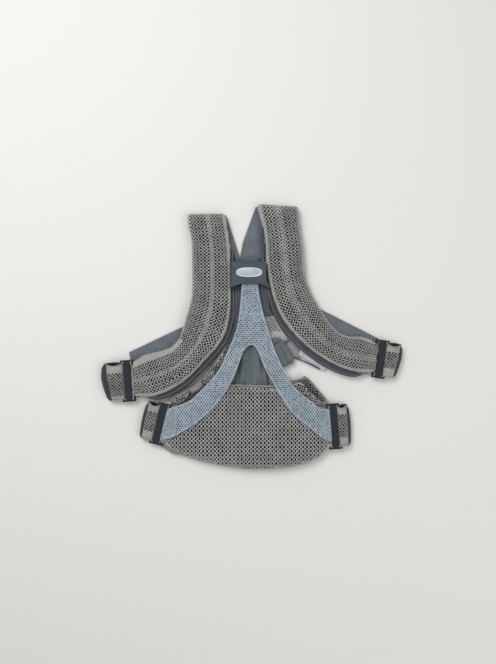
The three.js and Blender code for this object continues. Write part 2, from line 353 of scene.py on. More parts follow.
def join(name, parts):
    for other in bpy.context.selected_objects:
        other.select_set(False)
    with bpy.context.temp_override(active_object=parts[0], selected_editable_objects=parts, object=parts[0]):
        bpy.ops.object.join()
    parts[0].name = name
    return parts[0]


def surface_tree(piece):
    bpy.context.view_layer.update()
    mesh = piece.data
    mesh.calc_loop_triangles()
    points = [v.co.copy() for v in mesh.vertices]
    return BVHTree.FromPolygons(points, [t.vertices for t in mesh.loop_triangles])


def height_at(tree, x, y, fallback):
    hit = tree.ray_cast(Vector((x, y, 0.5)), Vector((0, 0, -1)))
    return hit[0].z if hit[0] is not None else fallback


def smooth_curve(line, count):
    """count even points along a few 3-D points, with the corners rounded."""
    return smooth_line(resample(np.array(line, float), count), count // 4)


def tube(name, line, radius, material, sides=8, squash=1.0):
    """A cord along a line of 3-D points, round when squash is 1. radius may be one size or a list."""
    line = [Vector(p) for p in line]
    radii = list(radius) if hasattr(radius, "__len__") else [radius] * len(line)
    rings = []
    flat = []
    travelled = 0.0
    for i, p in enumerate(line):
        before, after = line[max(i - 1, 0)], line[min(i + 1, len(line) - 1)]
        along = (after - before).normalized()
        side = along.cross(Vector((0, 0, 1)))
        side = side.normalized() if side.length > 1e-6 else Vector((1, 0, 0))
        up = side.cross(along).normalized()
        travelled += (p - before).length if i else 0.0
        for k in range(sides):
            angle = 2 * math.pi * k / sides
            size = radii[i]
            rings.append(p + side * math.cos(angle) * size + up * math.sin(angle) * size * squash)
            flat.append((travelled, k / sides * 2 * math.pi * size))
    faces = grid_faces(len(line), sides, True)
    faces.append(tuple(range(sides - 1, -1, -1)))
    faces.append(tuple((len(line) - 1) * sides + k for k in range(sides)))
    return new_object(name, rings, faces, material, flat)


def stitches(name, line, material, length=0.0026, gap=0.0016, radius=0.00035):
    """A row of thread stitches along a line of 3-D points."""
    line = np.array(line, float)
    travelled = arc_lengths(line)
    vertices, faces, flat = [], [], []
    start = gap
    while start + length < travelled[-1]:
        stops = (start, start + length * 0.5, start + length)
        ends = [np.array([np.interp(d, travelled, line[:, k]) for k in range(3)]) for d in stops]
        ends[1][2] += radius * 0.9
        along = Vector(ends[2] - ends[0]).normalized()
        side = along.cross(Vector((0, 0, 1))).normalized() * radius
        for p, scale in zip(ends, (0.5, 1.0, 0.5)):
            for dx, dz in ((-1, 0), (0, 1), (1, 0), (0, -1)):
                q = Vector(p) + side * dx * scale + Vector((0, 0, radius * dz * scale))
                vertices.append(q)
                flat.append((q.x, q.y))
        base = len(vertices) - 12
        for ring in (0, 4):
            for k in range(4):
                n = (k + 1) % 4
                faces.append((base + ring + k, base + ring + n, base + ring + 4 + n, base + ring + 4 + k))
        faces.append((base + 3, base + 2, base + 1, base))
        faces.append((base + 8, base + 9, base + 10, base + 11))
        start += length + gap
    return new_object(name, vertices, faces, material, flat)


# ---------------------------------------------------------------- perforated cloth


LEAST_STEP = 0.0012  # the closest that two points of a cut edge may lie


def inside(loop, points):
    """Which points lie inside a closed outline."""
    x, y = points[:, 0], points[:, 1]
    result = np.zeros(len(points), bool)
    ax, ay = loop[:, 0], loop[:, 1]
    bx, by = np.roll(ax, -1), np.roll(ay, -1)
    for x0, y0, x1, y1 in zip(ax, ay, bx, by):
        crosses = (y0 > y) != (y1 > y)
        if not crosses.any():
            continue
        at = (x1 - x0) * (y - y0) / (y1 - y0 + 1e-18) + x0
        result ^= crosses & (x < at)
    return result


def counter_clockwise(loop):
    area = np.dot(loop[:, 0], np.roll(loop[:, 1], -1)) - np.dot(loop[:, 1], np.roll(loop[:, 0], -1))
    return loop if area > 0 else loop[::-1]


def edge_distance(loop, points):
    best = np.full(len(points), 1e9)
    for a, b in zip(loop, np.roll(loop, -1, axis=0)):
        d = b - a
        t = np.clip(((points - a) @ d) / max(d @ d, 1e-18), 0, 1)
        best = np.minimum(best, np.hypot(*(points - (a + t[:, None] * d)).T))
    return best


def perforated(loop, pitch, rows, hole, margin, sides=8, angle=0.0, fine=0.006, allowed=None, weak=1.0,
               vary=0.0, size=None):
    """Triangulates a flat outline with staggered holes in it.

    pitch is the distance between columns, rows the distance between holes in one column, hole = (half width,
    half height) and margin the plain border. Every second column's holes are weak times the size, vary makes
    sizes uneven and size(points) scales them by place. It returns flat points and faces."""
    loop = counter_clockwise(loop)
    cos, sin = math.cos(angle), math.sin(angle)
    turn = np.array([[cos, -sin], [sin, cos]])
    local = loop @ turn
    low, high = local.min(0) - pitch, local.max(0) + pitch
    centres, scales = [], []
    for i in range(int((high[0] - low[0]) / pitch) + 1):
        for j in range(int((high[1] - low[1]) / rows) + 1):
            centres.append((low[0] + i * pitch, low[1] + (j + (0.5 if i % 2 else 0)) * rows))
            scales.append(weak if i % 2 else 1.0)
    centres = np.array(centres) @ turn.T
    uneven = np.random.RandomState(len(scales)).uniform(-1, 1, len(scales))
    scales = np.array(scales) * (1 + vary * uneven)
    within = inside(loop, centres)
    depth = edge_distance(loop, centres)
    keep = within & (depth > margin)
    if allowed is not None:
        keep &= allowed(centres)
    if size is not None:
        scales = scales * size(centres)
    fillers = centres[within & ~keep & (depth > LEAST_STEP)]
    ring = [(math.cos(2 * math.pi * k / sides), math.sin(2 * math.pi * k / sides)) for k in range(sides)]
    ring = np.array([(hole[0] * c, hole[1] * s) for c, s in ring]) @ turn.T
    border = border_points(loop, fine)
    points = [border]
    faces = [list(range(len(border)))]
    count = len(border)
    for centre, scale in zip(centres[keep], scales[keep]):
        points.append(ring * scale + centre)
        faces.append(list(range(count, count + sides)))
        count += sides
    points = np.vstack(points + [fillers])
    spots, _, polygons, _, _, origins = delaunay_2d_cdt([Vector(p) for p in points], [], faces, 1, 1e-7)
    kept = [f for f, o in zip(polygons, origins) if o == [0]]
    return np.array([tuple(s) for s in spots]), kept


def border_points(loop, fine):
    """Border points in order: the outline's own corners, with even points about fine apart between them."""
    closed = closed_up(loop)
    length = arc_lengths(closed)
    count = max(int(length[-1] / fine), len(loop))
    stops = list(length[:-1]) + list(np.linspace(0, length[-1], count, endpoint=False))
    stops = sorted(set(np.round(stops, 6)))
    kept = [stops[0]]
    corner_stops = set(np.round(length[:-1], 6))
    for stop in stops[1:]:
        if stop - kept[-1] > LEAST_STEP:
            kept.append(stop)
        elif stop in corner_stops and kept[-1] not in corner_stops:
            kept[-1] = stop
    return np.stack([np.interp(kept, length, closed[:, k]) for k in (0, 1)], 1)


# ---------------------------------------------------------------- cloth simulation


PAD_PRESSURE = 3.0
PAD_FRAMES = 18


def simulate_pad(piece, voxel, limit):
    """Inflates a closed pad as a cloth bag, and lets no point move further than limit."""
    remesh = piece.modifiers.new("remesh", "REMESH")
    remesh.mode = "VOXEL"
    remesh.voxel_size = voxel
    apply_modifiers(piece)
    before = np.array([v.co for v in piece.data.vertices])
    cloth = piece.modifiers.new("cloth", "CLOTH")
    settings = cloth.settings
    settings.quality = 5
    settings.mass = 0.25
    settings.use_pressure = True
    settings.uniform_pressure_force = PAD_PRESSURE
    settings.tension_stiffness = 12
    settings.compression_stiffness = 12
    settings.bending_stiffness = 0.6
    settings.effector_weights.gravity = 0
    cloth.collision_settings.use_collision = False
    cloth.point_cache.frame_start = 1
    cloth.point_cache.frame_end = PAD_FRAMES
    scene = bpy.context.scene
    for i in range(1, PAD_FRAMES + 1):
        scene.frame_set(i)
    apply_modifiers(piece)
    scene.frame_set(1)
    after = np.array([v.co for v in piece.data.vertices])
    move = after - before
    far = np.linalg.norm(move, axis=1, keepdims=True)
    after = before + move * np.minimum(1, limit / np.maximum(far, 1e-9))
    piece.data.vertices.foreach_set("co", after.ravel())
    piece.data.update()
    subdivide = piece.modifiers.new("fine", "SUBSURF")
    subdivide.levels = 1
    subdivide.render_levels = 1
    apply_modifiers(piece)
    piece.data.shade_smooth()
    return piece


# ---------------------------------------------------------------- flat pieces of cloth


def smooth_noise(points, scale, seed, octaves=3):
    """Even, repeatable waves over a plan, about -1 to 1."""
    source = np.random.RandomState(seed)
    total = np.zeros(len(points))
    for octave in range(octaves):
        for _ in range(4):
            angle = source.uniform(0, 2 * math.pi)
            length = scale / (1.7**octave) * source.uniform(0.7, 1.3)
            phase = source.uniform(0, 2 * math.pi)
            along = points[:, 0] * math.cos(angle) + points[:, 1] * math.sin(angle)
            total += np.sin(2 * math.pi * along / length + phase) / (4 * 1.6**octave)
    return total


def plan_mesh(loop, fine):
    """An outline filled with even triangles: its points and faces."""
    loop = counter_clockwise(loop)
    border = border_points(loop, fine)
    low, high = loop.min(0), loop.max(0)
    grid = []
    for i in range(int((high[0] - low[0]) / fine) + 1):
        for j in range(int((high[1] - low[1]) / fine) + 1):
            grid.append((low[0] + (i + 0.5 * (j % 2)) * fine, low[1] + j * fine))
    grid = np.array(grid)
    grid = grid[inside(loop, grid)]
    grid = grid[edge_distance(loop, grid) > 0.45 * fine]
    points = np.vstack([border, grid])
    spots, _, faces, _, _, _ = delaunay_2d_cdt(
        [Vector(p) for p in points], [], [list(range(len(border)))], 1, 1e-7
    )
    return np.array([tuple(p) for p in spots]), [tuple(f) for f in faces]


def boundary_edges(faces):
    seen = set()
    for face in faces:
        for a, b in zip(face, face[1:] + face[:1]):
            if (b, a) in seen:
                seen.discard((b, a))
            else:
                seen.add((a, b))
    return seen


def soft_slab(name, loop, material, top, thickness, fine=0.005, edge=0.004):
    """A closed soft panel: top(points) gives its upper height, and its edge is rounded over."""
    points, faces = plan_mesh(loop, fine)
    near = np.clip(edge_distance(loop, points) / edge, 0, 1)
    middle = top(points) - thickness / 2
    half = thickness / 2 * (0.25 + 0.75 * dome(near))
    high, low = middle + half, middle - half
    count = len(points)
    vertices = raised(points, high) + raised(points, low)
    shell = [tuple(f) for f in faces]
    shell += [tuple(i + count for i in reversed(f)) for f in faces]
    shell += [(b, a, a + count, b + count) for a, b in boundary_edges(faces)]
    flat = np.vstack([points, points])
    return new_object(name, vertices, shell, material, flat)


def face_outward(piece):
    """Turns a cloth's faces to its outer side: up on a flat piece, away from the middle on a wrapped one."""
    mesh = piece.data
    centre = sum((p.center for p in mesh.polygons), Vector()) / len(mesh.polygons)
    side = sum(p.area * (p.normal.dot(p.center - centre) + 0.004 * p.normal.z) for p in mesh.polygons)
    if side < 0:
        mesh.flip_normals()


UPPER_SIDE = 0.3  # the least upward part of a face's normal on a cloth's upper side


def backed(piece, material):
    """Gives a cloth's underside and edges a material of their own."""
    piece.data.materials.append(material)
    for face in piece.data.polygons:
        if face.normal.z < UPPER_SIDE:
            face.material_index = 1
    return piece


def perforated_panel(name, loop, material, place, pitch, rows, hole, margin, thickness, **options):
    """Perforated cloth cut to a flat outline, put where place(points) says, then given its thickness."""
    points, faces = perforated(loop, pitch, rows, hole, margin, **options)
    panel = new_object(name, place(points), faces, material, points)
    panel.data.validate()
    face_outward(panel)
    return thicken(panel, thickness)


def declare_sheet(loop):
    """Finds the smallest rectangle round the outline, turning it in 3-degree steps; the result is not kept.
    """
    best = None
    for degrees in range(0, 90, 3):
        angle = math.radians(degrees)
        turned = loop @ np.array([[math.cos(angle), -math.sin(angle)], [math.sin(angle), math.cos(angle)]])
        size = turned.max(0) - turned.min(0)
        if best is None or size[0] * size[1] < best[0] * best[1]:
            best = size


# The coarse mesh has two holes to a cell, the one at the cell's middle smaller.
STRAP_CELL = (0.0057, 0.0062)  # along and across the strap
STRAP_HOLE = (0.00204, 0.00204)
PANEL_CELL = (0.0067, 0.0072)  # across and up the lumbar panel
PANEL_HOLE = (0.00192, 0.00252)
WEAK_HOLE = 0.74
FINE_CELL = (0.0046, 0.0071)
FINE_HOLE = (0.00116, 0.00138)


# ---------------------------------------------------------------- shoulder straps


SIDE_POINTS = 500  # points kept along each side of a strap
SHOULDER_SET_BACK = 0.004  # how far the right strap's corners stop short of the fold's
TAPER_LENGTH = 0.045  # the strap thins over this length towards its buckle
TAPER_DROP = 0.0056
CHANNEL_DEPTH = 0.0034  # the sewn channel down the middle of the strap
CHANNEL_HALF = 0.0052
UNDERSIDE_Z = 0.0074  # the strap's underside, away from the shoulder fold

# Creases pressed into the left strap: ends as shares of its length and width, then depth and half width.
LEFT_CREASES = (
    ((0.66, 0.80), (0.83, 0.70), 0.0030, 0.0034),
    ((0.80, 0.66), (0.88, 0.84), 0.0020, 0.0040),
    ((0.70, 0.52), (0.78, 0.62), 0.0016, 0.0045),
    ((0.62, 0.20), (0.70, 0.34), 0.0010, 0.0050),
)


INNER_FULLNESS = 0.0015  # how far the padded inner side stands out past the flat outline
END_INSET = 0.0020  # how far inside the buckle's rod the strap's corners stop


def squared_off(outer, inner, held=60, reach=140):
    """Pairs the strap's two sides again so that each line across is square to it, but for its two ends."""
    index = np.arange(len(outer), dtype=float)
    hold = np.clip(np.minimum(index, index[::-1]) / held, 0, 1)
    hold = ease(hold)
    far = np.abs(index[:, None] - index[None, :]) > reach
    sides = [outer, inner]
    for _ in range(4):
        middle = (sides[0] + sides[1]) / 2
        heading = np.gradient(smooth_line(middle, 40), axis=0)
        heading /= np.hypot(*heading.T)[:, None]
        for k, side in enumerate((outer, inner)):
            ahead = np.abs(((side[None, :, :] - middle[:, None, :]) * heading[:, None, :]).sum(2))
            ahead[far] = 1.0
            found = np.maximum.accumulate(np.argmin(ahead, axis=1))
            place = index + (found - index) * hold
            place = smooth_line(place, 60)
            sides[k] = np.stack([np.interp(place, index, side[:, c]) for c in (0, 1)], 1)
    return sides


class Strip:
    """A strap in plan, carried on over the shoulder fold at one end and to the buckle's bar at the other."""

    def __init__(self, side):
        loop = top_loop(f"{side}_strap_cover")
        shoulder = loop[loop[:, 1] > loop[:, 1].max() - 0.002]
        order = np.argsort(shoulder[:, 0] if side == "left" else -shoulder[:, 0])
        outer_top, inner_top = shoulder[order[0]], shoulder[order[-1]]
        count = len(loop)
        start = nearest(loop, outer_top)
        step = 1 if nearest(loop, inner_top) == (start - 1) % count else -1
        half = count // 2
        outer = np.array([loop[(start + step * k) % count] for k in range(half)])
        inner = np.array([loop[(start - step * (k + 1)) % count] for k in range(half)])
        fold_low, fold_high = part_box(f"{side}_shoulder_fold")
        self.low, self.high = fold_low.z, fold_high.z
        self.radius = (self.high - self.low) / 2
        self.middle_z = (self.high + self.low) / 2
        front = fold_high.y
        set_back = SHOULDER_SET_BACK if side == "right" else 0.0
        outer_front = np.array([outer[0][0] - 0.0005, front - set_back])
        inner_front = np.array([inner[0][0] - set_back, front])
        outer = np.vstack([outer_front, outer])
        inner = np.vstack([inner_front, inner])
        middle, along, out, half = buckle_axes(f"{side}_shoulder")
        rod_end = middle + out * ROD_REACH
        outer = np.vstack([outer[:-1], rod_end + along * (half - END_INSET)])
        inner = np.vstack([inner[:-1], rod_end - along * (half - END_INSET)])
        outer, inner = squared_off(resample(outer, SIDE_POINTS), resample(inner, SIDE_POINTS))
        middle = (outer + inner) / 2
        length = arc_lengths(middle)
        self.length = length[-1]
        even = np.linspace(0, self.length, SIDE_POINTS)
        self.outer = smooth_line(np.stack([np.interp(even, length, outer[:, k]) for k in (0, 1)], 1), 40)
        self.inner = smooth_line(np.stack([np.interp(even, length, inner[:, k]) for k in (0, 1)], 1), 40)
        across = self.inner - self.outer
        self.inner = self.inner + across / np.hypot(*across.T)[:, None] * INNER_FULLNESS
        self.width = float(np.hypot(*(self.outer - self.inner).T).mean())
        self.side = side
        rows, columns = np.meshgrid(np.linspace(0, 1, 240), np.linspace(0, 1, 40), indexing="ij")
        self.samples = self.at(rows.ravel() * self.length, columns.ravel())
        self.sample_places = np.stack([rows.ravel() * self.length, columns.ravel()], 1)

    def at(self, distance, t):
        place = np.clip(np.asarray(distance, float) / self.length, 0, 1) * (len(self.outer) - 1)
        index = np.arange(len(self.outer))
        outer = np.stack([np.interp(place, index, self.outer[:, k]) for k in (0, 1)], -1)
        inner = np.stack([np.interp(place, index, self.inner[:, k]) for k in (0, 1)], -1)
        t = np.asarray(t, float)[..., None]
        return outer * (1 - t) + inner * t

    def locate(self, x, y):
        """Distance along the strap and share across it of plan points."""
        result = np.zeros((len(x), 2))
        for start in range(0, len(x), 500):
            dx = x[start : start + 500, None] - self.samples[None, :, 0]
            dy = y[start : start + 500, None] - self.samples[None, :, 1]
            result[start : start + 500] = self.sample_places[np.argmin(dx * dx + dy * dy, axis=1)]
        return result[:, 0], result[:, 1]

    def end_taper(self, distance):
        return ease(np.clip((self.length - distance) / TAPER_LENGTH, 0, 1))

    def top(self, distance):
        roll = np.clip(1 - distance / self.radius, 0, 1)
        rise = self.radius * np.sqrt(np.clip(1 - roll**2, 0, 1))
        return self.middle_z + rise - (1 - self.end_taper(distance)) * TAPER_DROP

    def bottom(self, distance):
        roll = np.clip(1 - distance / self.radius, 0, 1)
        drop = self.radius * np.sqrt(np.clip(1 - roll**2, 0, 1))
        away = np.clip((distance - self.radius) / 0.02, 0, 1)
        under_rod = 0.0012 * (1 - self.end_taper(distance)) if self.side == "left" else 0.0
        resting = self.low * (1 - away) + UNDERSIDE_Z * away - under_rod
        return np.maximum(self.middle_z - drop, resting)

    def quilting(self, distance, t):
        """How far the cloth is drawn down by the sewn channel, the tucks, the creases and soft unevenness."""
        along = np.clip((distance - 0.004) / 0.02, 0, 1) * np.clip((self.length - distance) / 0.03, 0, 1)
        channel = CHANNEL_DEPTH * np.exp(-(((t - 0.5) * self.width / CHANNEL_HALF) ** 2)) * along
        points = np.stack([distance, t * self.width], 1)
        bend = np.exp(-(((distance - 0.62 * self.length) / 0.055) ** 2))
        tucks = 0.0009 * bend * np.sin(distance * 2 * math.pi / 0.017 + 3 * t) * t
        uneven = 0.0006 * smooth_noise(points, 0.05, 5 if self.side == "left" else 9)
        creases = 0.0
        if self.side == "left":
            for (s0, t0), (s1, t1), depth, width in LEFT_CREASES:
                a = (s0 * self.length, t0 * self.width)
                b = (s1 * self.length, t1 * self.width)
                share, off = to_segment(points, a, b)
                fade = np.sqrt(np.sin(np.clip(share, 0.02, 0.98) * math.pi))
                creases = creases + depth * fade * np.exp(-((off / width) ** 2))
        return channel + tucks + uneven * along + creases


def build_pad(strip):
    rows, columns = 110, 15
    vertices = []
    for i in range(rows):
        distance = 0.0006 + (strip.length - 0.0006) * i / (rows - 1)
        top, bottom = float(strip.top(distance)) - 0.0016, float(strip.bottom(distance)) + 0.0012
        middle, half = (top + bottom) / 2, (top - bottom) / 2
        for sign in (1, -1):
            for j in range(columns):
                k = j if sign > 0 else columns - 1 - j
                t = k / (columns - 1)
                bulge = math.sqrt(1 - abs(2 * t - 1) ** 5)
                x, y = strip.at(distance, t)
                vertices.append((x, y, middle + sign * half * (0.58 + 0.42 * bulge)))
    ring = 2 * columns
    faces = grid_faces(rows, ring, True)
    faces.append(tuple(range(ring - 1, -1, -1)))
    faces.append(tuple((rows - 1) * ring + k for k in range(ring)))
    # The pad is near-black so that the cover's holes look shadowed: painted shade.
    pad = new_object(f"{strip.side}_strap_pad", vertices, faces, PAD_PAINTED_SHADE)
    return simulate_pad(pad, 0.0034, 0.0020)


def quilt_pad(pad, strip):
    """Presses the strap's channel and creases into its pad, a little deeper than into the cover."""
    co = np.array([v.co for v in pad.data.vertices])
    distance, t = strip.locate(co[:, 0], co[:, 1])
    middle = (strip.top(distance) + strip.bottom(distance)) / 2
    share = np.clip((co[:, 2] - middle) / 0.003, 0, 1)
    co[:, 2] -= share * (strip.quilting(distance, t) + 0.0004)
    pad.data.vertices.foreach_set("co", co.ravel())
    pad.data.update()


SIDE_SHARE = 0.05  # the share of a strap's width, at each side, that turns down over the pad
SIDE_DROP = 0.0065
FLOOR_GAP = 0.0013  # the least height of any wrapped cloth


def wrap_points(strip, tree, flat, lift, under=False):
    """Puts flat cloth (distance along, distance across) round the pad: over the roll, and down both sides."""
    placed = []
    quarter = math.pi * strip.radius / 2
    for a, b in flat:
        across = b / strip.width
        over = max(SIDE_SHARE - across, across - (1 - SIDE_SHARE), 0.0) * strip.width
        t = min(max(across, 0.0), 1.0)
        if a < quarter and not under:
            angle = a / strip.radius
            distance = strip.radius * (1 - math.cos(angle))
            height = strip.middle_z + strip.radius * math.sin(angle)
        else:
            distance = a if under else strip.radius + (a - quarter)
            height = float(strip.bottom(distance)) if under else float(strip.top(distance))
        x, y = strip.at(distance, t)
        middle_z = float(strip.top(distance) + strip.bottom(distance)) / 2
        core = Vector((*strip.at(max(distance, strip.radius * 0.9), 0.12 + 0.76 * t), middle_z))
        angle = min(over / SIDE_DROP, 1.0) * math.pi / 2 * 0.9
        outward = Vector((*(strip.at(distance, 1.0) - strip.at(distance, 0.0)), 0)).normalized()
        outward *= 1 if across > 0.5 else -1
        sign = -1 if under else 1
        target = Vector((x, y, height))
        if over:
            target = target + outward * 0.0015 * math.sin(angle)
            target.z -= sign * SIDE_DROP * (1 - math.cos(angle))
        push = target - core
        origin = core + push * (1 + 0.012 / max(push.length, 1e-6))
        hit = tree.ray_cast(origin, -push.normalized(), 0.05)
        if hit[0] is None:
            found = tree.find_nearest(target)
            spot, normal = found[0], found[1]
        else:
            spot, normal = hit[0], hit[1]
        spot = spot + normal * lift
        placed.append(Vector((spot.x, spot.y, max(spot.z, FLOOR_GAP))))
    return placed


COVER_LIFT = 0.0015  # how far the perforated cloth lies off its pad
COVER_OVERHANG = 0.0045  # how far it is cut past the strap's sides
CHANNEL_NARROWING = 0.42  # how much smaller the holes are in the sewn channel
INNER_HEM = 0.0058
LINING_LIFT = 0.0008
LINING_THICKNESS = 0.0009


def strap_cover(strip, pad):
    tree = surface_tree(pad)
    quarter = math.pi * strip.radius / 2
    flat_length = quarter + strip.length - strip.radius
    start, edge = -0.9 * quarter, COVER_OVERHANG
    loop = np.array([
        (start, -edge), (flat_length, -edge), (flat_length, strip.width + edge), (start, strip.width + edge),
    ])
    bare_from = 0.66 * flat_length if strip.side == "left" else 2.0
    inner_hem = 1 - INNER_HEM / strip.width

    def allowed(points):
        across = points[:, 1] / strip.width
        plain = (points[:, 0] > bare_from) & (across < 0.15)
        return (across > 0.0) & (across < inner_hem) & ~plain

    def size(points):
        off = (points[:, 1] / strip.width - 0.5) * strip.width
        return 1 - CHANNEL_NARROWING * np.exp(-((off / 0.0042) ** 2))

    name = f"{strip.side}_strap_cover_cloth"
    cover = perforated_panel(
        name, loop, MESH_TAUPE, lambda points: wrap_points(strip, tree, points, COVER_LIFT),
        STRAP_CELL[0] / 2, STRAP_CELL[1],
        STRAP_HOLE, 0.0026, 0.0011, allowed=allowed, fine=0.0035, weak=WEAK_HOLE, vary=0.08,
        size=size,
    )
    declare_sheet(loop)
    return cover


def strap_lining(strip, pad):
    tree = surface_tree(pad)
    start = strip.radius * 0.3
    loop = np.array([(start, 0.0), (strip.length, 0.0), (strip.length, strip.width), (start, strip.width)])
    points, faces = plan_mesh(loop, 0.005)
    vertices = wrap_points(strip, tree, points, LINING_LIFT, under=True)
    lining = new_object(f"{strip.side}_strap_lining_cloth", vertices, faces, LINING_GREY, points)
    face_outward(lining)
    if sum(p.area * p.normal.z for p in lining.data.polygons) > 0:
        lining.data.flip_normals()
    lining = thicken(lining, LINING_THICKNESS)
    declare_sheet(loop)
    return lining


EDGE_POINTS = 130  # points along a strap's bound edge


def beside(strip, tree, height_share, outward, start, end, t=1.0):
    """A line that follows the padded strap's side at one height, outward metres off it."""
    line = []
    for k in range(EDGE_POINTS):
        distance = start + (end - start) * k / (EDGE_POINTS - 1)
        edge = strip.at(distance, t)
        inward = strip.at(distance, 1 - t) - edge
        inward = inward / np.hypot(*inward)
        top, bottom = float(strip.top(distance)), float(strip.bottom(distance))
        height = bottom + (top - bottom) * height_share
        hit = tree.ray_cast(Vector((*(edge - inward * 0.03), height)), Vector((*inward, 0)), 0.05)
        spot = np.array(hit[0][:2]) if hit[0] is not None else edge
        off = outward[k] if hasattr(outward, "__len__") else outward
        line.append((*(spot - inward * off), height))
    return smooth_line(np.array(line), 12)


def narrowed(line, radii, reach, least=0.25):
    """The radius at each point of a line, drawn in towards both of its ends."""
    travelled = arc_lengths(line)
    near = np.minimum(travelled, travelled[-1] - travelled)
    return radii * np.clip(near / reach, least, 1)


# Where each strap's bound edge starts and how far short of the buckle it ends, then half the tape's width,
# the piping's radius and the outer strip's radius.
BINDING_TOP = {"left": 0.160, "right": 0.196}
BINDING_STOP = {"left": 0.018, "right": 0.012}
BINDING_WIDTHS = {"left": (0.0026, 0.0012, 0.0017), "right": (0.0036, 0.0011, 0.0011)}


def strap_binding(strip, pad):
    """The bound edge on the side nearest the brace: flat tape, and a round piping along its far edge. A thin
    near-black cord in the groove by the strap is painted shade.
    """
    tree = surface_tree(pad)
    along = np.linspace(0, strip.length, 600)
    inner = strip.at(along, np.ones(600))
    start = along[np.argmax(inner[:, 1] < BINDING_TOP[strip.side])]
    broad = along[np.argmax(inner[:, 1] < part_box("yoke_cover")[0].y + 0.010)]
    end = strip.length - BINDING_STOP[strip.side]
    tape_half, ridge, edge_half = BINDING_WIDTHS[strip.side]
    distance = np.linspace(start, end, EDGE_POINTS)
    opened = np.clip((distance - broad) / 0.05, 0, 1)
    tape_radius = tape_half * (0.45 + 0.55 * opened)
    together = 0.30 + 0.70 * np.sqrt(np.clip((end - distance) / 0.030, 0, 1))
    tape_radius = tape_radius * together
    ridge_out = (0.0012 + 2 * tape_radius + ridge * 0.7) * together
    edge_radius = edge_half * (0.6 + 0.4 * opened) * together
    edge_out = ridge_out + ridge * 0.7 * together + edge_radius
    tape = beside(strip, tree, 0.42, 0.0010 * together + tape_radius, start, end)
    piping = beside(strip, tree, 0.58, ridge_out, start, end)
    strand = beside(strip, tree, 0.34, edge_out, start, end)
    # A thin near-black cord in the groove between the hem and the tape: painted shade.
    groove = beside(strip, tree, 0.66, 0.0014 * together, start, end)
    parts = [
        tube("tape", tape, narrowed(tape, tape_radius, 0.03), BINDING_DARK, 16, 0.62),
        tube("piping", piping, narrowed(piping, np.full(EDGE_POINTS, ridge), 0.02), PIPING, 10),
        tube("strand", strand, narrowed(strand, edge_radius, 0.02), BINDING_DARK, 12, 0.9),
        tube("groove", groove, narrowed(groove, np.full(EDGE_POINTS, 0.0011), 0.01), TRIM_DARK, 8),
    ]
    return join(f"{strip.side}_strap_binding_tape", parts)


def outer_seam(strip, pad):
    line = beside(strip, surface_tree(pad), 0.30, 0.0001, 0.014, strip.length - 0.006, t=0.0)
    return tube(f"{strip.side}_strap_outer_seam", line, 0.0016, MESH_PLAIN, 8)


PANEL_THICKNESS = 0.0009
PANEL_RELIEF = 0.0019  # how deep the rear straps and wings are rumpled
HEM_INSET = 0.0034


def cross_panel(name, loop, top_z, seed):
    """A flat harness strap of lining cloth: rumpled, with a stitched hem along its edge."""

    def top(points):
        ripple = 0.5 + 0.5 * smooth_noise(points, 0.034, seed)
        pull = np.clip(1 - np.abs(smooth_noise(points, 0.075, seed + 20, 1)) / 0.35, 0, 1)
        return top_z - 0.0001 - PANEL_RELIEF * np.clip(0.62 * ripple + 0.5 * pull**2, 0, 1)

    panel = soft_slab(name, loop, LINING_GREY, top, PANEL_THICKNESS, 0.004, 0.003)
    line = resample(closed_up(inset_loop(loop, HEM_INSET)), 240)
    seam = stitches("seam", [(p[0], p[1], float(top(p[None, :])[0]) + 0.0001) for p in line], PIPING)
    panel = join(name, [panel, seam])
    declare_sheet(loop)
    return panel


def inset_loop(loop, distance):
    """The outline moved inward by a distance, corner by corner."""
    area = np.dot(loop[:, 0], np.roll(loop[:, 1], -1)) - np.dot(loop[:, 1], np.roll(loop[:, 0], -1))
    sign = 1 if area > 0 else -1
    before, after = np.roll(loop, 1, axis=0), np.roll(loop, -1, axis=0)
    first, second = loop - before, after - loop
    first /= np.hypot(*first.T)[:, None]
    second /= np.hypot(*second.T)[:, None]
    normal = np.stack([-(first[:, 1] + second[:, 1]), first[:, 0] + second[:, 0]], 1) * sign
    length = np.hypot(*normal.T)[:, None]
    return loop + normal / np.maximum(length, 0.4) * distance * 2 / np.maximum(length, 0.8)


def wing_outline(side):
    """The wing's outline, with its tip carried on past the end of the strap."""
    loop = top_loop(f"{side}_side_wing").copy()
    if side == "left":
        loop[nearest(loop, (-0.204, -0.024))] = (-0.2175, -0.0285)
        loop[nearest(loop, (-0.203, -0.044))] = (-0.2155, -0.0415)
        loop[nearest(loop, (-0.122, 0.022))] = (-0.122, 0.0172)
    else:
        loop[nearest(loop, (0.214, -0.001))] = (0.2235, -0.0040)
        loop[nearest(loop, (0.213, -0.008))] = (0.2225, -0.0100)
    return loop


def back_outline(side):
    """The rear strap's outline, carried up to the corner of the shoulder fold."""
    loop = top_loop(f"{side}_back_strap").copy()
    corner = (-0.0455, 0.2140) if side == "left" else (0.0066, 0.2290)
    inner = loop[:, 0].max() if side == "left" else loop[:, 0].min()
    top = [i for i in range(len(loop)) if loop[i, 1] > loop[:, 1].max() - 0.002]
    loop[min(top, key=lambda i: abs(loop[i, 0] - inner))] = corner
    return loop


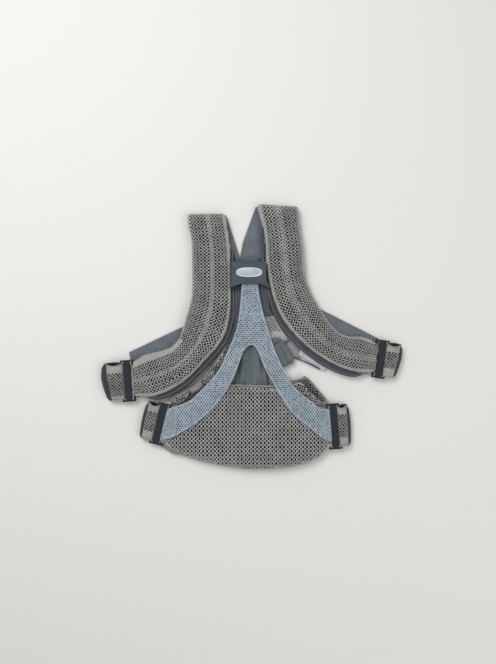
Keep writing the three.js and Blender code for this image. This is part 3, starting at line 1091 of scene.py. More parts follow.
def shoulder_strap(side):
    strip = Strip(side)
    pad = build_pad(strip)
    quilt_pad(pad, strip)
    project_uv(pad)
    cover = strap_cover(strip, pad)
    lining = strap_lining(strip, pad)
    binding = strap_binding(strip, pad)
    seam = outer_seam(strip, pad)
    back_node, wing_node = f"{side}_back_strap", f"{side}_side_wing"
    back_seed, wing_seed = (3, 6) if side == "left" else (4, 8)
    back = cross_panel(f"{back_node}_cloth", back_outline(side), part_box(back_node)[1].z, back_seed)
    wing = cross_panel(f"{side}_wing_cloth", wing_outline(side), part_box(wing_node)[1].z, wing_seed)
    for piece in (pad, cover, lining, binding, seam, back, wing):
        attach(piece, "harness")
    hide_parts(f"{side}_strap_foam", f"{side}_shoulder_fold")
    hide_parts(f"{side}_strap_cover")
    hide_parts(f"{side}_strap_lining")
    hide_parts(f"{side}_strap_binding")
    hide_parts(f"{side}_back_strap")
    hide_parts(f"{side}_side_wing")


# ---------------------------------------------------------------- waist ends


def buckle_axes(name):
    """The buckle's inner rod in plan: its middle, its direction, the way out, and half its length."""
    joint = next(j for j in frame["joints"] if j["name"] == f"{name}_hinge")
    middle = np.array(joint["pos_m"][:2])
    along = np.array(joint["axis"][:2])
    along = along if along[1] > 0 else -along
    out = np.array([along[1], -along[0]])
    if name.startswith("left"):
        out = -out
    node = np.array([v.co for v in NODES[f"{name}_sleeve"].data.vertices])
    return middle, along, out, float(((node[:, :2] - middle) @ along).max())


ROD_Z = next(j for j in frame["joints"] if j["name"] == "left_waist_hinge")["pos_m"][2]
WAIST_ENDS = ("left_waist", "right_waist")
ROD_REACH = 0.0046  # how far past the rod's axis the cloth wraps
ROD_BEND_START = 0.016  # how far before the rod the cloth begins to bend down to it
ROD_BEND = 0.013
ROD_BESIDE = 0.012  # how far past the rod's ends its cloth is looked for
ROD_CORNER = 0.0045  # how far inside the rod's ends the cloth's corners stay
LUMBAR_OVER_ROD = 0.0034
BRACE_OVER_ROD = 0.0045


def reach_to_rods(loop):
    """Carries the ends of a lower piece's outline on over the waist buckles' inner rods."""
    loop = loop.copy()
    for name in WAIST_ENDS:
        middle, along, out, half = buckle_axes(name)
        for i, p in enumerate(loop):
            u, v = (p - middle) @ out, (p - middle) @ along
            if u > -0.0085 and abs(v) < half + ROD_BESIDE:
                v = min(max(v, -half + ROD_CORNER), half - ROD_CORNER)
                loop[i] = middle + out * ROD_REACH + along * v
    return loop


def over_rods(points, heights, radius):
    """Bends cloth heights down over the waist buckles' inner rods, in a curve of this radius about each."""
    heights = heights.copy()
    for name in WAIST_ENDS:
        middle, along, out, half = buckle_axes(name)
        u, v = (points - middle) @ out, (points - middle) @ along
        near = (u > -ROD_BEND_START) & (np.abs(v) < half + ROD_BESIDE)
        arc = ROD_Z + np.sqrt(np.clip(radius**2 - np.clip(u, 0, radius) ** 2, 0, None))
        share = ease(np.clip((u + ROD_BEND_START) / ROD_BEND, 0, 1))
        heights = np.where(near, heights * (1 - share) + arc * share, heights)
    return heights


# ---------------------------------------------------------------- lumbar panel

FOLD_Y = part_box("brace_stem")[0].y - 0.003
LUMBAR_EDGE_Z = 0.0125


LUMBAR_THINNING = 0.0046  # how much lower the panel is at its two ends
LUMBAR_EDGE_REACH = 0.013  # how far in from its edge the panel is rounded
LUMBAR_EDGE_POWER = 2.4


def lumbar_top(loop, points, lower=0.0):
    """A crowned pad, round at its edge, that thins towards the waist buckles."""
    low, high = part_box("lumbar_cover")
    middle_x = (low.x + high.x) / 2
    half = (high.x - low.x) / 2
    out = np.clip((np.abs(points[:, 0] - middle_x) / half - 0.70) / 0.30, 0, 1)
    crown = high.z - 0.0002 - lower - LUMBAR_THINNING * ease(out)
    near = np.clip(edge_distance(loop, points) / LUMBAR_EDGE_REACH, 0, 1)
    round_over = np.clip(1 - (1 - near) ** LUMBAR_EDGE_POWER, 0, 1) ** (1 / LUMBAR_EDGE_POWER)
    soft = 0.0004 * smooth_noise(points, 0.07, 21) + 0.0003 * smooth_noise(points, 0.03, 22)
    return LUMBAR_EDGE_Z + (crown + soft - LUMBAR_EDGE_Z) * round_over


def lumbar_panel():
    outline = top_loop("lumbar_cover")
    loop = reach_to_rods(outline)
    core = inset_loop(outline, 0.0045)
    # The lumbar pad is near-black so that the cover's holes look shadowed: painted shade.
    pad = soft_slab(
        "lumbar_pad", core, PAD_PAINTED_SHADE, lambda p: lumbar_top(outline, p, 0.0034), 0.0072, 0.006, 0.006,
    )
    simulate_pad(pad, 0.0045, 0.0012)
    project_uv(pad)
    tree = surface_tree(pad)

    def heights(points):
        shaped = lumbar_top(outline, points)
        held = np.array([height_at(tree, p[0], p[1], 0.0) for p in points]) + 0.0014
        return over_rods(points, np.maximum(shaped, held), LUMBAR_OVER_ROD)

    def place(points):
        return raised(points, heights(points))

    cover = perforated_panel(
        "lumbar_cover_cloth", loop, MESH_TAUPE, place, PANEL_CELL[0] / 2, PANEL_CELL[1], PANEL_HOLE, 0.0028,
        0.0012, fine=0.0035, weak=WEAK_HOLE, vary=0.08,
    )
    inner = resample(closed_up(inset_loop(outline, 0.001)), 300)
    rolled = tube("lumbar_edge", [(p[0], p[1], LUMBAR_EDGE_Z - 0.0014) for p in inner], 0.0017, MESH_PLAIN, 8)
    lining_loop = outline.copy()
    corner = nearest(lining_loop, (lining_loop[:, 0].min(), lining_loop[:, 1].min() + 0.04))
    for i in (corner, (corner + 1) % len(lining_loop)):
        lining_loop[i] += (-0.006, -0.004)
    lining_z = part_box("lumbar_lining")[1].z

    def lining_top(points):
        """Level, but for the lower left corner, which hangs a little."""
        off = np.hypot(*(points - lining_loop[corner]).T)
        return lining_z - 0.0026 * np.exp(-((off / 0.02) ** 2))

    lining = soft_slab("lumbar_lining_cloth", lining_loop, MESH_PLAIN, lining_top, 0.0015, 0.007, 0.003)
    hem_low, hem_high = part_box("lumbar_top_hem")
    hem_line = []
    for k in range(80):
        share = k / 79
        x = hem_low.x + (hem_high.x - hem_low.x) * share
        y = hem_high.y - 0.0045 + (hem_low.y - hem_high.y + 0.006) * share + 0.0003 * math.sin(share * 31)
        hem_line.append((x, y))
    hem_z = lumbar_top(outline, np.array(hem_line) - (0, 0.004))
    hem_points = raised(hem_line, hem_z, -0.0006)
    hem = tube("lumbar_hem_roll", hem_points, 0.0014, MESH_PLAIN, 12, 0.9)
    stitch = stitches("hem_stitch", [(x, y - 0.0032, z + 0.0009) for x, y, z in hem_points], MESH_PLAIN)
    hem = join("lumbar_hem_roll", [hem, stitch])
    for piece in (pad, cover, rolled, lining, hem):
        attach(piece, "lower_section")
    declare_sheet(loop)
    declare_sheet(lining_loop)
    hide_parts("lumbar_foam", "lumbar_stiffener")
    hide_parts("lumbar_cover")
    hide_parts("lumbar_lining")
    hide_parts("lumbar_top_hem")
    return surface_tree(cover), surface_tree(hem)


# ---------------------------------------------------------------- back brace


def from_corner(loop, point):
    """The outline turned round to start at the corner nearest a point."""
    i = nearest(loop, point)
    return np.vstack([loop[i:], loop[:i]])


def brace_outline():
    stem = top_loop("brace_stem")
    low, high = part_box("brace_stem")
    top_left = stem[stem[:, 1] > high.y - 0.001]
    top_left = top_left[np.argmin(top_left[:, 0])]
    stem = from_corner(stem, top_left)
    bottom = [i for i, p in enumerate(stem) if p[1] < low.y + 0.0005]
    left_side = stem[: bottom[0]]
    fork = stem[bottom[1] + 1 : bottom[-2]]
    right_side = stem[bottom[-1] + 1 :]

    def leg(node):
        loop = top_loop(node)
        ceiling = loop[:, 1].max()
        ends = loop[loop[:, 1] > ceiling - 0.001]
        return from_corner(loop, ends[np.argmin(ends[:, 0])])

    runs = [left_side, leg("brace_left_leg"), fork, leg("brace_right_leg"), right_side]
    return reach_to_rods(np.vstack(runs))


class Drape:
    """The height of a taut cloth over other pieces: over the highest thing near each spot, and smooth."""

    def __init__(self, trees, low, high, free, clearance, reach=3, cell=0.003, rounds=10):
        self.low, self.cell = np.array(low), cell
        columns, rows = (int(v) for v in (np.array(high) - self.low) / cell + 2)
        heights = np.full((columns, rows), free - clearance)
        for i in range(columns):
            for j in range(rows):
                x, y = self.low + np.array([i, j]) * cell
                found = max(height_at(tree, x, y, -1.0) for tree in trees)
                if found > 0:
                    heights[i, j] = found
        top = heights.copy()
        for di in range(-reach, reach + 1):
            for dj in range(-reach, reach + 1):
                if di * di + dj * dj <= reach * reach:
                    moved = np.roll(np.roll(heights, di, 0), dj, 1)
                    top = np.maximum(top, moved - 0.0006 * math.hypot(di, dj))
        for _ in range(rounds):
            top[1:-1, 1:-1] = 0.5 * top[1:-1, 1:-1] + 0.125 * (
                top[:-2, 1:-1] + top[2:, 1:-1] + top[1:-1, :-2] + top[1:-1, 2:]
            )
        self.top = top + clearance

    def __call__(self, points):
        place = (points - self.low) / self.cell
        place = np.clip(place, 0, np.array(self.top.shape) - 1.001)
        i, j = place.astype(int).T
        a, b = (place - place.astype(int)).T
        top = self.top
        return (top[i, j] * (1 - a) * (1 - b) + top[i + 1, j] * a * (1 - b) + top[i, j + 1] * (1 - a) * b
                + top[i + 1, j + 1] * a * b)


BRACE_CLEARANCE = 0.0021  # how far the brace stays above what it lies on
BRACE_BACKING_GAP = 0.0010
BRACE_RIM = 0.0008


def brace(under):
    loop = brace_outline()
    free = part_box("brace_stem")[0].z + 0.0012
    low, high = loop.min(0) - 0.006, loop.max(0) + 0.006
    drape = Drape(under, low, high, free, BRACE_CLEARANCE)

    def height(points):
        ripple = 0.0003 * smooth_noise(points, 0.09, 31) + 0.0002 * smooth_noise(points, 0.035, 33)
        return over_rods(points, drape(points) + ripple, BRACE_OVER_ROD)

    def place(points):
        return raised(points, height(points))

    cloth = perforated_panel(
        "brace_cloth", loop, MESH_LIGHT, place, FINE_CELL[0] / 2, FINE_CELL[1], FINE_HOLE, 0.0026, 0.0009,
        sides=6, fine=0.0035, vary=0.28,
    )
    backing_loop = inset_loop(loop, 0.0012)
    points, faces = plan_mesh(backing_loop, 0.004)
    spots = raised(points, height(points), -BRACE_BACKING_GAP)
    backing = new_object("brace_backing", spots, faces, BRACE_BACKING, points)
    face_outward(backing)
    thicken(backing, 0.0004)
    backed(backing, LINING_GREY)
    edge = resample(closed_up(inset_loop(loop, 0.0009)), 620)
    rim = tube("brace_rim", raised(edge, height(edge), -0.0006), BRACE_RIM, MESH_LIGHT)
    inner = resample(closed_up(inset_loop(loop, 0.0022)), 620)
    seam = stitches("brace_seam", raised(inner, height(inner), -0.0001), MESH_LIGHT, 0.0022, 0.0014, 0.0003)
    cloth = join("brace_cloth", [cloth, rim, seam])
    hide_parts("brace_stem", "brace_left_leg", "brace_right_leg")
    declare_sheet(loop)
    declare_sheet(backing_loop)
    for piece in (cloth, backing):
        blend_at_fold(piece)


# ---------------------------------------------------------------- yoke


def dressed(node, material, bevel):
    """A CAD solid with its edges softened and its own material."""
    piece = bpy.data.objects.new(f"{node}_skin", NODES[node].data.copy())
    bpy.context.scene.collection.objects.link(piece)
    piece.data.materials.clear()
    piece.data.materials.append(material)
    tidy = bmesh.new()
    tidy.from_mesh(piece.data)
    bmesh.ops.remove_doubles(tidy, verts=tidy.verts, dist=1e-6)
    bmesh.ops.dissolve_limit(tidy, angle_limit=math.radians(1), verts=tidy.verts, edges=tidy.edges)
    tidy.to_mesh(piece.data)
    tidy.free()
    soften = piece.modifiers.new("round", "BEVEL")
    soften.width = bevel
    soften.segments = 3
    soften.limit_method = "ANGLE"
    soften.angle_limit = math.radians(40)
    apply_modifiers(piece)
    piece.data.shade_smooth()
    piece.modifiers.new("normals", "WEIGHTED_NORMAL")
    apply_modifiers(piece)
    project_uv(piece)
    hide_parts(node)
    return piece


def oval(centre, size, count, power=2.5):
    """Points round a squared-off oval."""
    points = []
    for k in range(count):
        angle = 2 * math.pi * k / count
        c, r = math.cos(angle), math.sin(angle)
        points.append((
            centre[0] + size[0] / 2 * math.copysign(abs(c) ** (2 / power), c),
            centre[1] + size[1] / 2 * math.copysign(abs(r) ** (2 / power), r),
        ))
    return resample(np.array(points + points[:1]), count + 1)[:-1]


def oval_disc(name, centre, size, base_z, rise, material, rings=10, sides=72):
    """A shallow domed oval, closed underneath."""
    outline = oval((0.0, 0.0), size, sides)
    vertices, faces = [(centre[0], centre[1], base_z + rise)], []
    for i in range(1, rings + 1):
        share = i / rings
        for x, y in outline:
            vertices.append((centre[0] + x * share, centre[1] + y * share, base_z + rise * (1 - share**3)))
    for x, y in outline:
        vertices.append((centre[0] + x, centre[1] + y, base_z - 0.0008))
    faces += [(0, 1 + k, 1 + (k + 1) % sides) for k in range(sides)]
    faces += [tuple(1 + i for i in reversed(f)) for f in grid_faces(rings + 1, sides, True)]
    faces.append(tuple(1 + rings * sides + k for k in reversed(range(sides))))
    disc = new_object(name, vertices, faces, material)
    tidy = bmesh.new()
    tidy.from_mesh(disc.data)
    bmesh.ops.recalc_face_normals(tidy, faces=tidy.faces)
    tidy.to_mesh(disc.data)
    tidy.free()
    return project_uv(disc)


def yoke():
    cover = dressed("yoke_cover", PLATE_DARK, 0.0014)
    loop = top_loop("yoke_cover")
    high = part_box("yoke_cover")[1]
    centre = (loop.max(0) + loop.min(0)) / 2
    inner = centre + (loop - centre) * np.array([0.93, 0.9])
    line = [(p[0], p[1], high.z + 0.0001) for p in resample(closed_up(inner), 160)]
    seam = stitches("yoke_seam", line, BINDING_DARK, 0.0024, 0.0014, 0.00032)
    plate = dressed("yoke_back_plate", PLATE_DARK, 0.0008)
    b_low, b_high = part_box("yoke_badge")
    middle = ((b_low.x + b_high.x) / 2, (b_low.y + b_high.y) / 2)
    size = (b_high.x - b_low.x, b_high.y - b_low.y)
    face_size = (size[0] - 0.0034, size[1] - 0.0034)
    badge = oval_disc("yoke_badge_oval", middle, face_size, b_high.z - 0.0009, 0.0006, BADGE_WHITE)
    rim_oval = oval(middle, (size[0] - 0.0022, size[1] - 0.0022), 96)
    rim_line = [(x, y, b_high.z - 0.0010) for x, y in closed_up(rim_oval)]
    rim = tube("yoke_badge_rim", rim_line, 0.0011, BADGE_RIM, 10)
    for piece in (cover, seam, plate, badge, rim):
        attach(piece, "yoke")
    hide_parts("yoke_badge")


# ---------------------------------------------------------------- seat pouch and head support


def joined_outline(upper, lower):
    """One outline from a piece above the fold line and the one below it."""
    upper_bottom = upper[upper[:, 1] < upper[:, 1].min() + 0.002]
    lower_top = lower[lower[:, 1] > lower[:, 1].max() - 0.002]
    up = from_corner(upper, upper_bottom[np.argmax(upper_bottom[:, 0])])
    down = from_corner(lower, lower_top[np.argmin(lower_top[:, 0])])
    return np.vstack([up, down])


def across_fold(points, upper, lower):
    share = ease(np.clip((FOLD_Y + 0.02 - points[:, 1]) / 0.05, 0, 1))
    return upper * (1 - share) + lower * share


def blend_at_fold(piece):
    """Bakes a cloth's transform into its mesh, for a cloth that runs over the fold line; it is not bent
    there.
    """
    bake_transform(piece)


def pouch():
    head_high, seat_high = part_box("head_support_lining")[1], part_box("seat_lining")[1]
    head_mesh_z, seat_mesh_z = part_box("head_support_mesh")[1].z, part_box("seat_mesh_panel")[1].z
    loop = joined_outline(top_loop("head_support_lining"), top_loop("seat_lining"))

    def lining_top(points):
        base = across_fold(points, head_high.z + 0.0005, seat_high.z + 0.0030)
        x, y = points[:, 0], points[:, 1]
        folds = 0.0034 * np.sin(x * 2 * math.pi / 0.023 + 1.6 * np.sin(y * 34) + 0.7)
        folds += 0.0019 * np.sin(x * 2 * math.pi / 0.0105 + y * 26 + 1.0)
        fade = np.clip((y + 0.14) / 0.04, 0, 1) * np.clip((0.02 - y) / 0.03, 0, 1)
        clear = across_fold(points, head_mesh_z + 0.0022, seat_mesh_z + 0.0026)
        return np.maximum(base + folds * fade + 0.0004 * smooth_noise(points, 0.04, 41), clear)

    lining = soft_slab("pouch_lining_cloth", loop, LINING_GREEN, lining_top, 0.0016, 0.0036, 0.002)
    mesh_loop = joined_outline(top_loop("head_support_mesh"), top_loop("seat_mesh_panel"))

    def mesh_place(points):
        level = across_fold(points, head_mesh_z - 0.0007, seat_mesh_z - 0.0006)
        return raised(points, level + 0.0005 * smooth_noise(points, 0.05, 44))

    outer = perforated_panel(
        "pouch_mesh_cloth", mesh_loop, MESH_TAUPE, mesh_place, PANEL_CELL[0] / 2, PANEL_CELL[1], PANEL_HOLE,
        0.004, 0.0014, fine=0.006, weak=WEAK_HOLE,
    )
    for piece, slot, outline in ((lining, "lining_green", loop), (outer, "mesh_taupe", mesh_loop)):
        declare_sheet(outline)
        blend_at_fold(piece)
    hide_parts("head_support_lining", "seat_lining")
    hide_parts("head_support_mesh", "seat_mesh_panel")
    head_band()
    facing()


FACING_Z = 0.0142
BACK_HEM_Z = 0.0078


def facing():
    """Plain cloth in the gaps beside the stem, painted dark as shade, and the rear straps' hem above the
    yoke.
    """
    loop = np.array([
        (-0.0305, 0.091), (0.0243, 0.091), (0.0285, 0.074), (0.0305, 0.050), (0.0365, 0.037),
        (0.030, 0.034), (0.010, 0.034), (-0.010, 0.026), (-0.026, 0.004), (-0.038, -0.013),
        (-0.0465, -0.0140), (-0.043, -0.009), (-0.0375, 0.0), (-0.0335, 0.012), (-0.030, 0.027),
        (-0.0302, 0.060),
    ])

    def facing_top(points):
        return FACING_Z + 0.0007 * smooth_noise(points, 0.03, 71)

    def hem_top(points):
        return BACK_HEM_Z + 0.0002 * smooth_noise(points, 0.03, 73)

    panel = soft_slab("head_support_facing", loop, LINING_PAINTED_SHADE, facing_top, 0.0012, 0.004, 0.002)
    hem_loop = np.array([(-0.0345, 0.1400), (0.0135, 0.1405), (0.0125, 0.1300), (-0.0335, 0.1300)])
    hem = soft_slab("back_strap_hem", hem_loop, LINING_GREEN, hem_top, 0.0011, 0.004, 0.001)
    for piece, slot, outline in ((panel, "lining_green", loop), (hem, "lining_grey", hem_loop)):
        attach(piece, "harness")
        declare_sheet(outline)


def head_band():
    """The head support's free edge beside the brace: mesh, then a broad plain hem rolled under at its end."""
    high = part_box("head_support_mesh")[1]
    loop = np.array([
        (0.020, 0.040), (0.031, 0.038), (0.0385, 0.0355), (0.0430, 0.027), (0.0485, 0.0175), (0.0550, 0.008),
        (0.0610, 0.0), (0.0630, -0.005), (0.0590, -0.0100), (0.0510, -0.0070), (0.0460, -0.0040),
        (0.0400, -0.0036), (0.0345, -0.0075), (0.0300, -0.006), (0.0240, 0.020),
    ])
    hem_from = 0.0065

    def height(points):
        y = points[:, 1]
        side = dome(np.clip(edge_distance(loop, points) / 0.004, 0, 1))
        puff = 0.0007 * np.sin(y * 2 * math.pi / 0.0052) * (y > hem_from)
        pleats = 0.0008 * np.sin((points[:, 0] * 0.8 + y) * 2 * math.pi / 0.0065) * (y <= hem_from)
        groove = 0.0010 * np.exp(-(((y - hem_from) / 0.0012) ** 2))
        roll = 0.0012 * np.exp(-(((y - hem_from + 0.006) / 0.004) ** 2))
        return high.z + 0.0008 + (0.0020 + puff + pleats + roll - groove) * side

    band = perforated_panel(
        "head_support_band", loop, MESH_TAUPE, lambda p: raised(p, height(p)),
        0.0034, 0.0052, (0.0021, 0.0011), 0.0026, 0.0014, fine=0.003, weak=0.85,
        allowed=lambda p: p[:, 1] > hem_from + 0.002,
    )
    seam_line = [(x, hem_from) for x in np.linspace(0.027, 0.054, 30)]
    seam = stitches("seam", raised(seam_line, height(np.array(seam_line)), 0.0001), MESH_PLAIN)
    band = join("head_support_band", [band, seam])
    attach(band, "harness")
    declare_sheet(loop)


def creased_flap(name, node, loop, ridges, rise, blended, material=None):
    """A soft flap folded on itself: low at its edges, with ridges as (end, end, height, half width)."""
    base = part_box(node)[0].z
    seed = len(node) + len(name)

    def height(points):
        near = dome(np.clip(edge_distance(loop, points) / 0.006, 0, 1))
        z = 0.30 * rise + 0.0009 * smooth_noise(points, 0.028, seed)
        for a, b, tall, width in ridges:
            off = to_segment(points, a, b)[1]
            z = z + tall * np.exp(-((off / width) ** 2))
        return base + 0.0022 + np.clip(z, 0, rise - 0.001) * near

    if material is None:
        # The flap's perforated cloth is the darker mesh copy: painted shade.
        cloth = perforated_panel(
            name, loop, MESH_PAINTED_SHADE, lambda p: raised(p, height(p)),
            STRAP_CELL[0] / 2, STRAP_CELL[1], STRAP_HOLE, 0.0026, 0.0012, fine=0.003, weak=WEAK_HOLE,
            vary=0.15, angle=math.radians(38 if node.startswith("left") else -42),
        )
        # A near-black core under the flap paints the shadow seen through its holes.
        core = soft_slab(
            f"{name}_core", inset_loop(loop, 0.0012), PAD_PAINTED_SHADE, lambda p: height(p) - 0.0024, 0.0016, 0.004,
            0.003,
        )
        backed(core, MESH_PLAIN)
        closed = resample(closed_up(loop), 200)
        rim = tube(f"{name}_rim", raised(closed, height(closed), -0.0005), 0.0012, MESH_PLAIN)
        pieces = [cloth, core, rim]
    else:
        cloth = soft_slab(name, loop, material, height, 0.0020, 0.0016, 0.0025)
        pieces = [cloth]
    for piece in pieces:
        if piece is not pieces[-1] or len(pieces) == 1:
            declare_sheet(loop)
        if blended:
            blend_at_fold(piece)
        else:
            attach(piece, "lower_section")
    return cloth


# Each flap's outline, its ridges (two ends, height and half width), and its folds: a name, whether the fold
# is plain cloth, and its outline.
LEFT_FLAP = (
    (-0.046, -0.0145), (-0.034, -0.014), (-0.04, -0.036), (-0.052, -0.062), (-0.066, -0.084),
    (-0.084, -0.103), (-0.112, -0.119), (-0.139, -0.1235), (-0.143, -0.119), (-0.141, -0.11),
    (-0.1325, -0.1035), (-0.117, -0.097), (-0.106, -0.091), (-0.091, -0.079), (-0.0815, -0.0695),
    (-0.0715, -0.0565), (-0.066, -0.048), (-0.057, -0.0365), (-0.052, -0.0275),
)
LEFT_RIDGES = (
    ((-0.136, -0.114), (-0.1, -0.094), 0.0042, 0.0034),
    ((-0.096, -0.097), (-0.072, -0.072), 0.0036, 0.0030),
    ((-0.064, -0.062), (-0.05, -0.042), 0.0030, 0.0026),
    ((-0.05, -0.034), (-0.04, -0.018), 0.0024, 0.0030),
)
LEFT_FOLDS = (
    ("upper", False, (
        (-0.0535, -0.0305), (-0.047, -0.027), (-0.043, -0.034), (-0.047, -0.044), (-0.055, -0.051),
        (-0.064, -0.054), (-0.066, -0.05), (-0.06, -0.041),
    )),
    ("lower", False, (
        (-0.086, -0.076), (-0.077, -0.0675), (-0.069, -0.06), (-0.062, -0.066), (-0.069, -0.076),
        (-0.078, -0.085), (-0.084, -0.0835),
    )),
    ("middle", True, (
        (-0.111, -0.093), (-0.101, -0.087), (-0.091, -0.0795), (-0.0845, -0.084), (-0.091, -0.094),
        (-0.104, -0.101),
    )),
    ("end", False, (
        (-0.139, -0.1125), (-0.13, -0.1045), (-0.117, -0.098), (-0.11, -0.103), (-0.119, -0.113),
        (-0.134, -0.1195),
    )),
)
RIGHT_FLAP = (
    (0.066, -0.079), (0.0756, -0.0775), (0.0865, -0.0745), (0.0928, -0.071), (0.0998, -0.0755),
    (0.108, -0.0845), (0.115, -0.093), (0.124, -0.103), (0.131, -0.1115), (0.128, -0.119), (0.108, -0.1195),
    (0.09, -0.104), (0.078, -0.091),
)
RIGHT_RIDGES = (
    ((0.092, -0.073), (0.126, -0.108), 0.0044, 0.0026),
    ((0.076, -0.083), (0.088, -0.078), 0.0034, 0.0022),
    ((0.086, -0.097), (0.112, -0.118), 0.0030, 0.0024),
)
RIGHT_FOLDS = (
    ("upper", False, (
        (0.071, -0.085), (0.084, -0.0795), (0.092, -0.085), (0.098, -0.094), (0.093, -0.103),
        (0.08, -0.097),
    )),
    ("lower", False, (
        (0.095, -0.098), (0.103, -0.099), (0.112, -0.108), (0.121, -0.115), (0.118, -0.119),
        (0.106, -0.1185), (0.096, -0.109),
    )),
)


def fold_layer(name, plain, outline, z, seed, blended):
    """A fold of the flap that lies over it, with a rounded edge."""
    loop = counter_clockwise(np.array(outline))

    def height(points):
        near = dome(np.clip(edge_distance(loop, points) / 0.0035, 0, 1))
        return z + 0.0018 * near + 0.0015 * smooth_noise(points, 0.012, seed)

    if plain:
        fold = soft_slab(name, loop, MESH_PLAIN, height, 0.0018, 0.003, 0.002)
    else:
        fold = perforated_panel(
            name, loop, MESH_TAUPE, lambda p: raised(p, height(p)),
            STRAP_CELL[0] / 2, STRAP_CELL[1], (0.0021, 0.0021), 0.0013, 0.0010, fine=0.003, weak=0.84,
            vary=0.2, angle=0.5,
        )
    layers = [fold]
    if not plain:
        under = inset_loop(loop, 0.0008)
        # A near-black core under the fold paints the shadow seen through its holes.
        core = soft_slab(f"{name}_core", under, PAD_PAINTED_SHADE, lambda p: height(p) - 0.0016, 0.0008, 0.003, 0.001)
        layers.append(backed(core, MESH_PLAIN))
    for piece in layers:
        declare_sheet(loop)
        if blended:
            blend_at_fold(piece)
        else:
            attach(piece, "lower_section")


def side_flaps():
    for side, outline, ridges, folds in (
        ("left", LEFT_FLAP, LEFT_RIDGES, LEFT_FOLDS),
        ("right", RIGHT_FLAP, RIGHT_RIDGES, RIGHT_FOLDS),
    ):
        node = f"{side}_side_flap"
        loop = counter_clockwise(np.array(outline))
        cloth = creased_flap(f"{node}_cloth", node, loop, ridges, 0.0058, side == "left")
        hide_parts(node)
        for k, (where, plain, fold) in enumerate(folds):
            fold_layer(f"{node}_fold_{where}", plain, fold, 0.0146, 80 + 7 * k, side == "left")


def corner_tab():
    """The lining's loose corner, the roll at its top, the armhole's hem beside it, and a dark cord under the
    care label that paints its shadow.
    """
    low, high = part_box("pouch_corner_tab")
    x, y = low.x, high.y
    loop = np.array([
        (x - 0.003, y + 0.022), (x + 0.008, y + 0.028), (x + 0.018, y + 0.025), (x + 0.026, y + 0.014),
        (x + 0.034, y + 0.002), (x + 0.040, y - 0.012), (x + 0.038, y - 0.020), (x + 0.026, y - 0.026),
        (x + 0.018, y - 0.029), (x + 0.008, y - 0.014), (x + 0.001, y + 0.004),
    ])
    ridges = (
        ((x + 0.002, y + 0.021), (x + 0.015, y + 0.020), 0.0046, 0.0040),
        ((x + 0.006, y + 0.006), (x + 0.019, y - 0.024), 0.0052, 0.0016),
        ((x + 0.018, y + 0.012), (x + 0.030, y - 0.016), 0.0040, 0.0026),
        ((x + 0.026, y + 0.004), (x + 0.036, y - 0.016), 0.0030, 0.0018),
    )
    rise = high.z - low.z + 0.0028
    cloth = creased_flap(
        "pouch_corner_tab_cloth", "pouch_corner_tab", loop, ridges, rise, True, LINING_GREEN,
    )
    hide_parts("pouch_corner_tab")
    roll_line = [(0.0370, -0.0115, 0.0128), (0.0405, -0.0082, 0.0140), (0.0460, -0.0068, 0.0144),
                 (0.0510, -0.0082, 0.0140), (0.0545, -0.0120, 0.0126)]
    roll = tube("pouch_corner_roll", smooth_curve(roll_line, 30), 0.0030, LINING_GREEN, 14, 0.8)
    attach(roll, "harness")
    hem_loop = np.array([
        (0.0580, -0.0060), (0.0660, -0.0080), (0.0745, -0.0150), (0.0830, -0.0230), (0.0880, -0.0300),
        (0.0820, -0.0385), (0.0745, -0.0375), (0.0665, -0.0250), (0.0600, -0.0150),
    ])
    hem_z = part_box("care_label")[0].z + 0.0014

    def hem_top(points):
        return hem_z + 0.0010 * smooth_noise(points, 0.03, 61)

    hem = soft_slab("armhole_hem_cloth", hem_loop, MESH_PLAIN, hem_top, 0.0024, 0.003, 0.0025)
    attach(hem, "harness")
    declare_sheet(hem_loop)
    # A dark cord along the care label's lower edge: a painted shadow line.
    label_shadow_line = [(0.0725, -0.0375, 0.0066), (0.0840, -0.0408, 0.0062), (0.1020, -0.0488, 0.0060),
                 (0.1200, -0.0580, 0.0058)]
    edge = tube("armhole_painted_shadow_line", smooth_curve(label_shadow_line, 40), 0.0012, TRIM_DARK, 8)
    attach(edge, "harness")


def care_label():
    loop = top_loop("care_label").copy()
    loop[nearest(loop, (0.133, -0.055))] = (0.1365, -0.0495)
    loop[nearest(loop, (0.084, -0.024))] = (0.0885, -0.0165)
    loop[nearest(loop, (0.078, -0.035))] = (0.0815, -0.0330)
    loop[nearest(loop, (0.127, -0.066))] = (0.1260, -0.0605)
    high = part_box("care_label")[1]

    def top(points):
        along = points @ np.array([0.84, -0.54])
        return high.z + 0.0006 + 0.0011 * np.sin(along * 2 * math.pi / 0.026 + 0.6 + 40 * points[:, 1])

    label = soft_slab("care_label_cloth", loop, LABEL, top, 0.0007, 0.0025, 0.0006)
    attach(label, "harness")
    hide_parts("care_label")
    declare_sheet(loop)


# ---------------------------------------------------------------- end buckles

SLEEVE_POWER = 3.0  # how square the flattened sleeve's section is
SLEEVE_HOLE = (0.0021, 0.0020)
SHOULDER_NARROWING = 0.80  # the sleeve's width at its lower end, as a share of its full width
WAIST_NARROWING = 0.94
SLEEVE_DEPTH = 0.97  # the sleeve's depth as a share of the CAD sleeve's
RIGHT_SHOULDER_WIDENING = 1.14
SLEEVE_LINING_GAP = 0.0013
SLEEVE_PLAIN = (0.0160, 0.0165)  # how much of the sleeve is plain cloth at its upper and lower end
CRESCENT_PLAIN = (0.0185, 0.0070)


def sleeve_section(angle, width, depth):
    """A point on the flattened sleeve's section, out from its inner side, at an angle round it."""
    c, r = math.cos(angle), math.sin(angle)
    x = math.copysign(abs(c) ** (2 / SLEEVE_POWER), c) * width / 2
    z = math.copysign(abs(r) ** (2 / SLEEVE_POWER), r) * depth / 2
    return x + width / 2, z


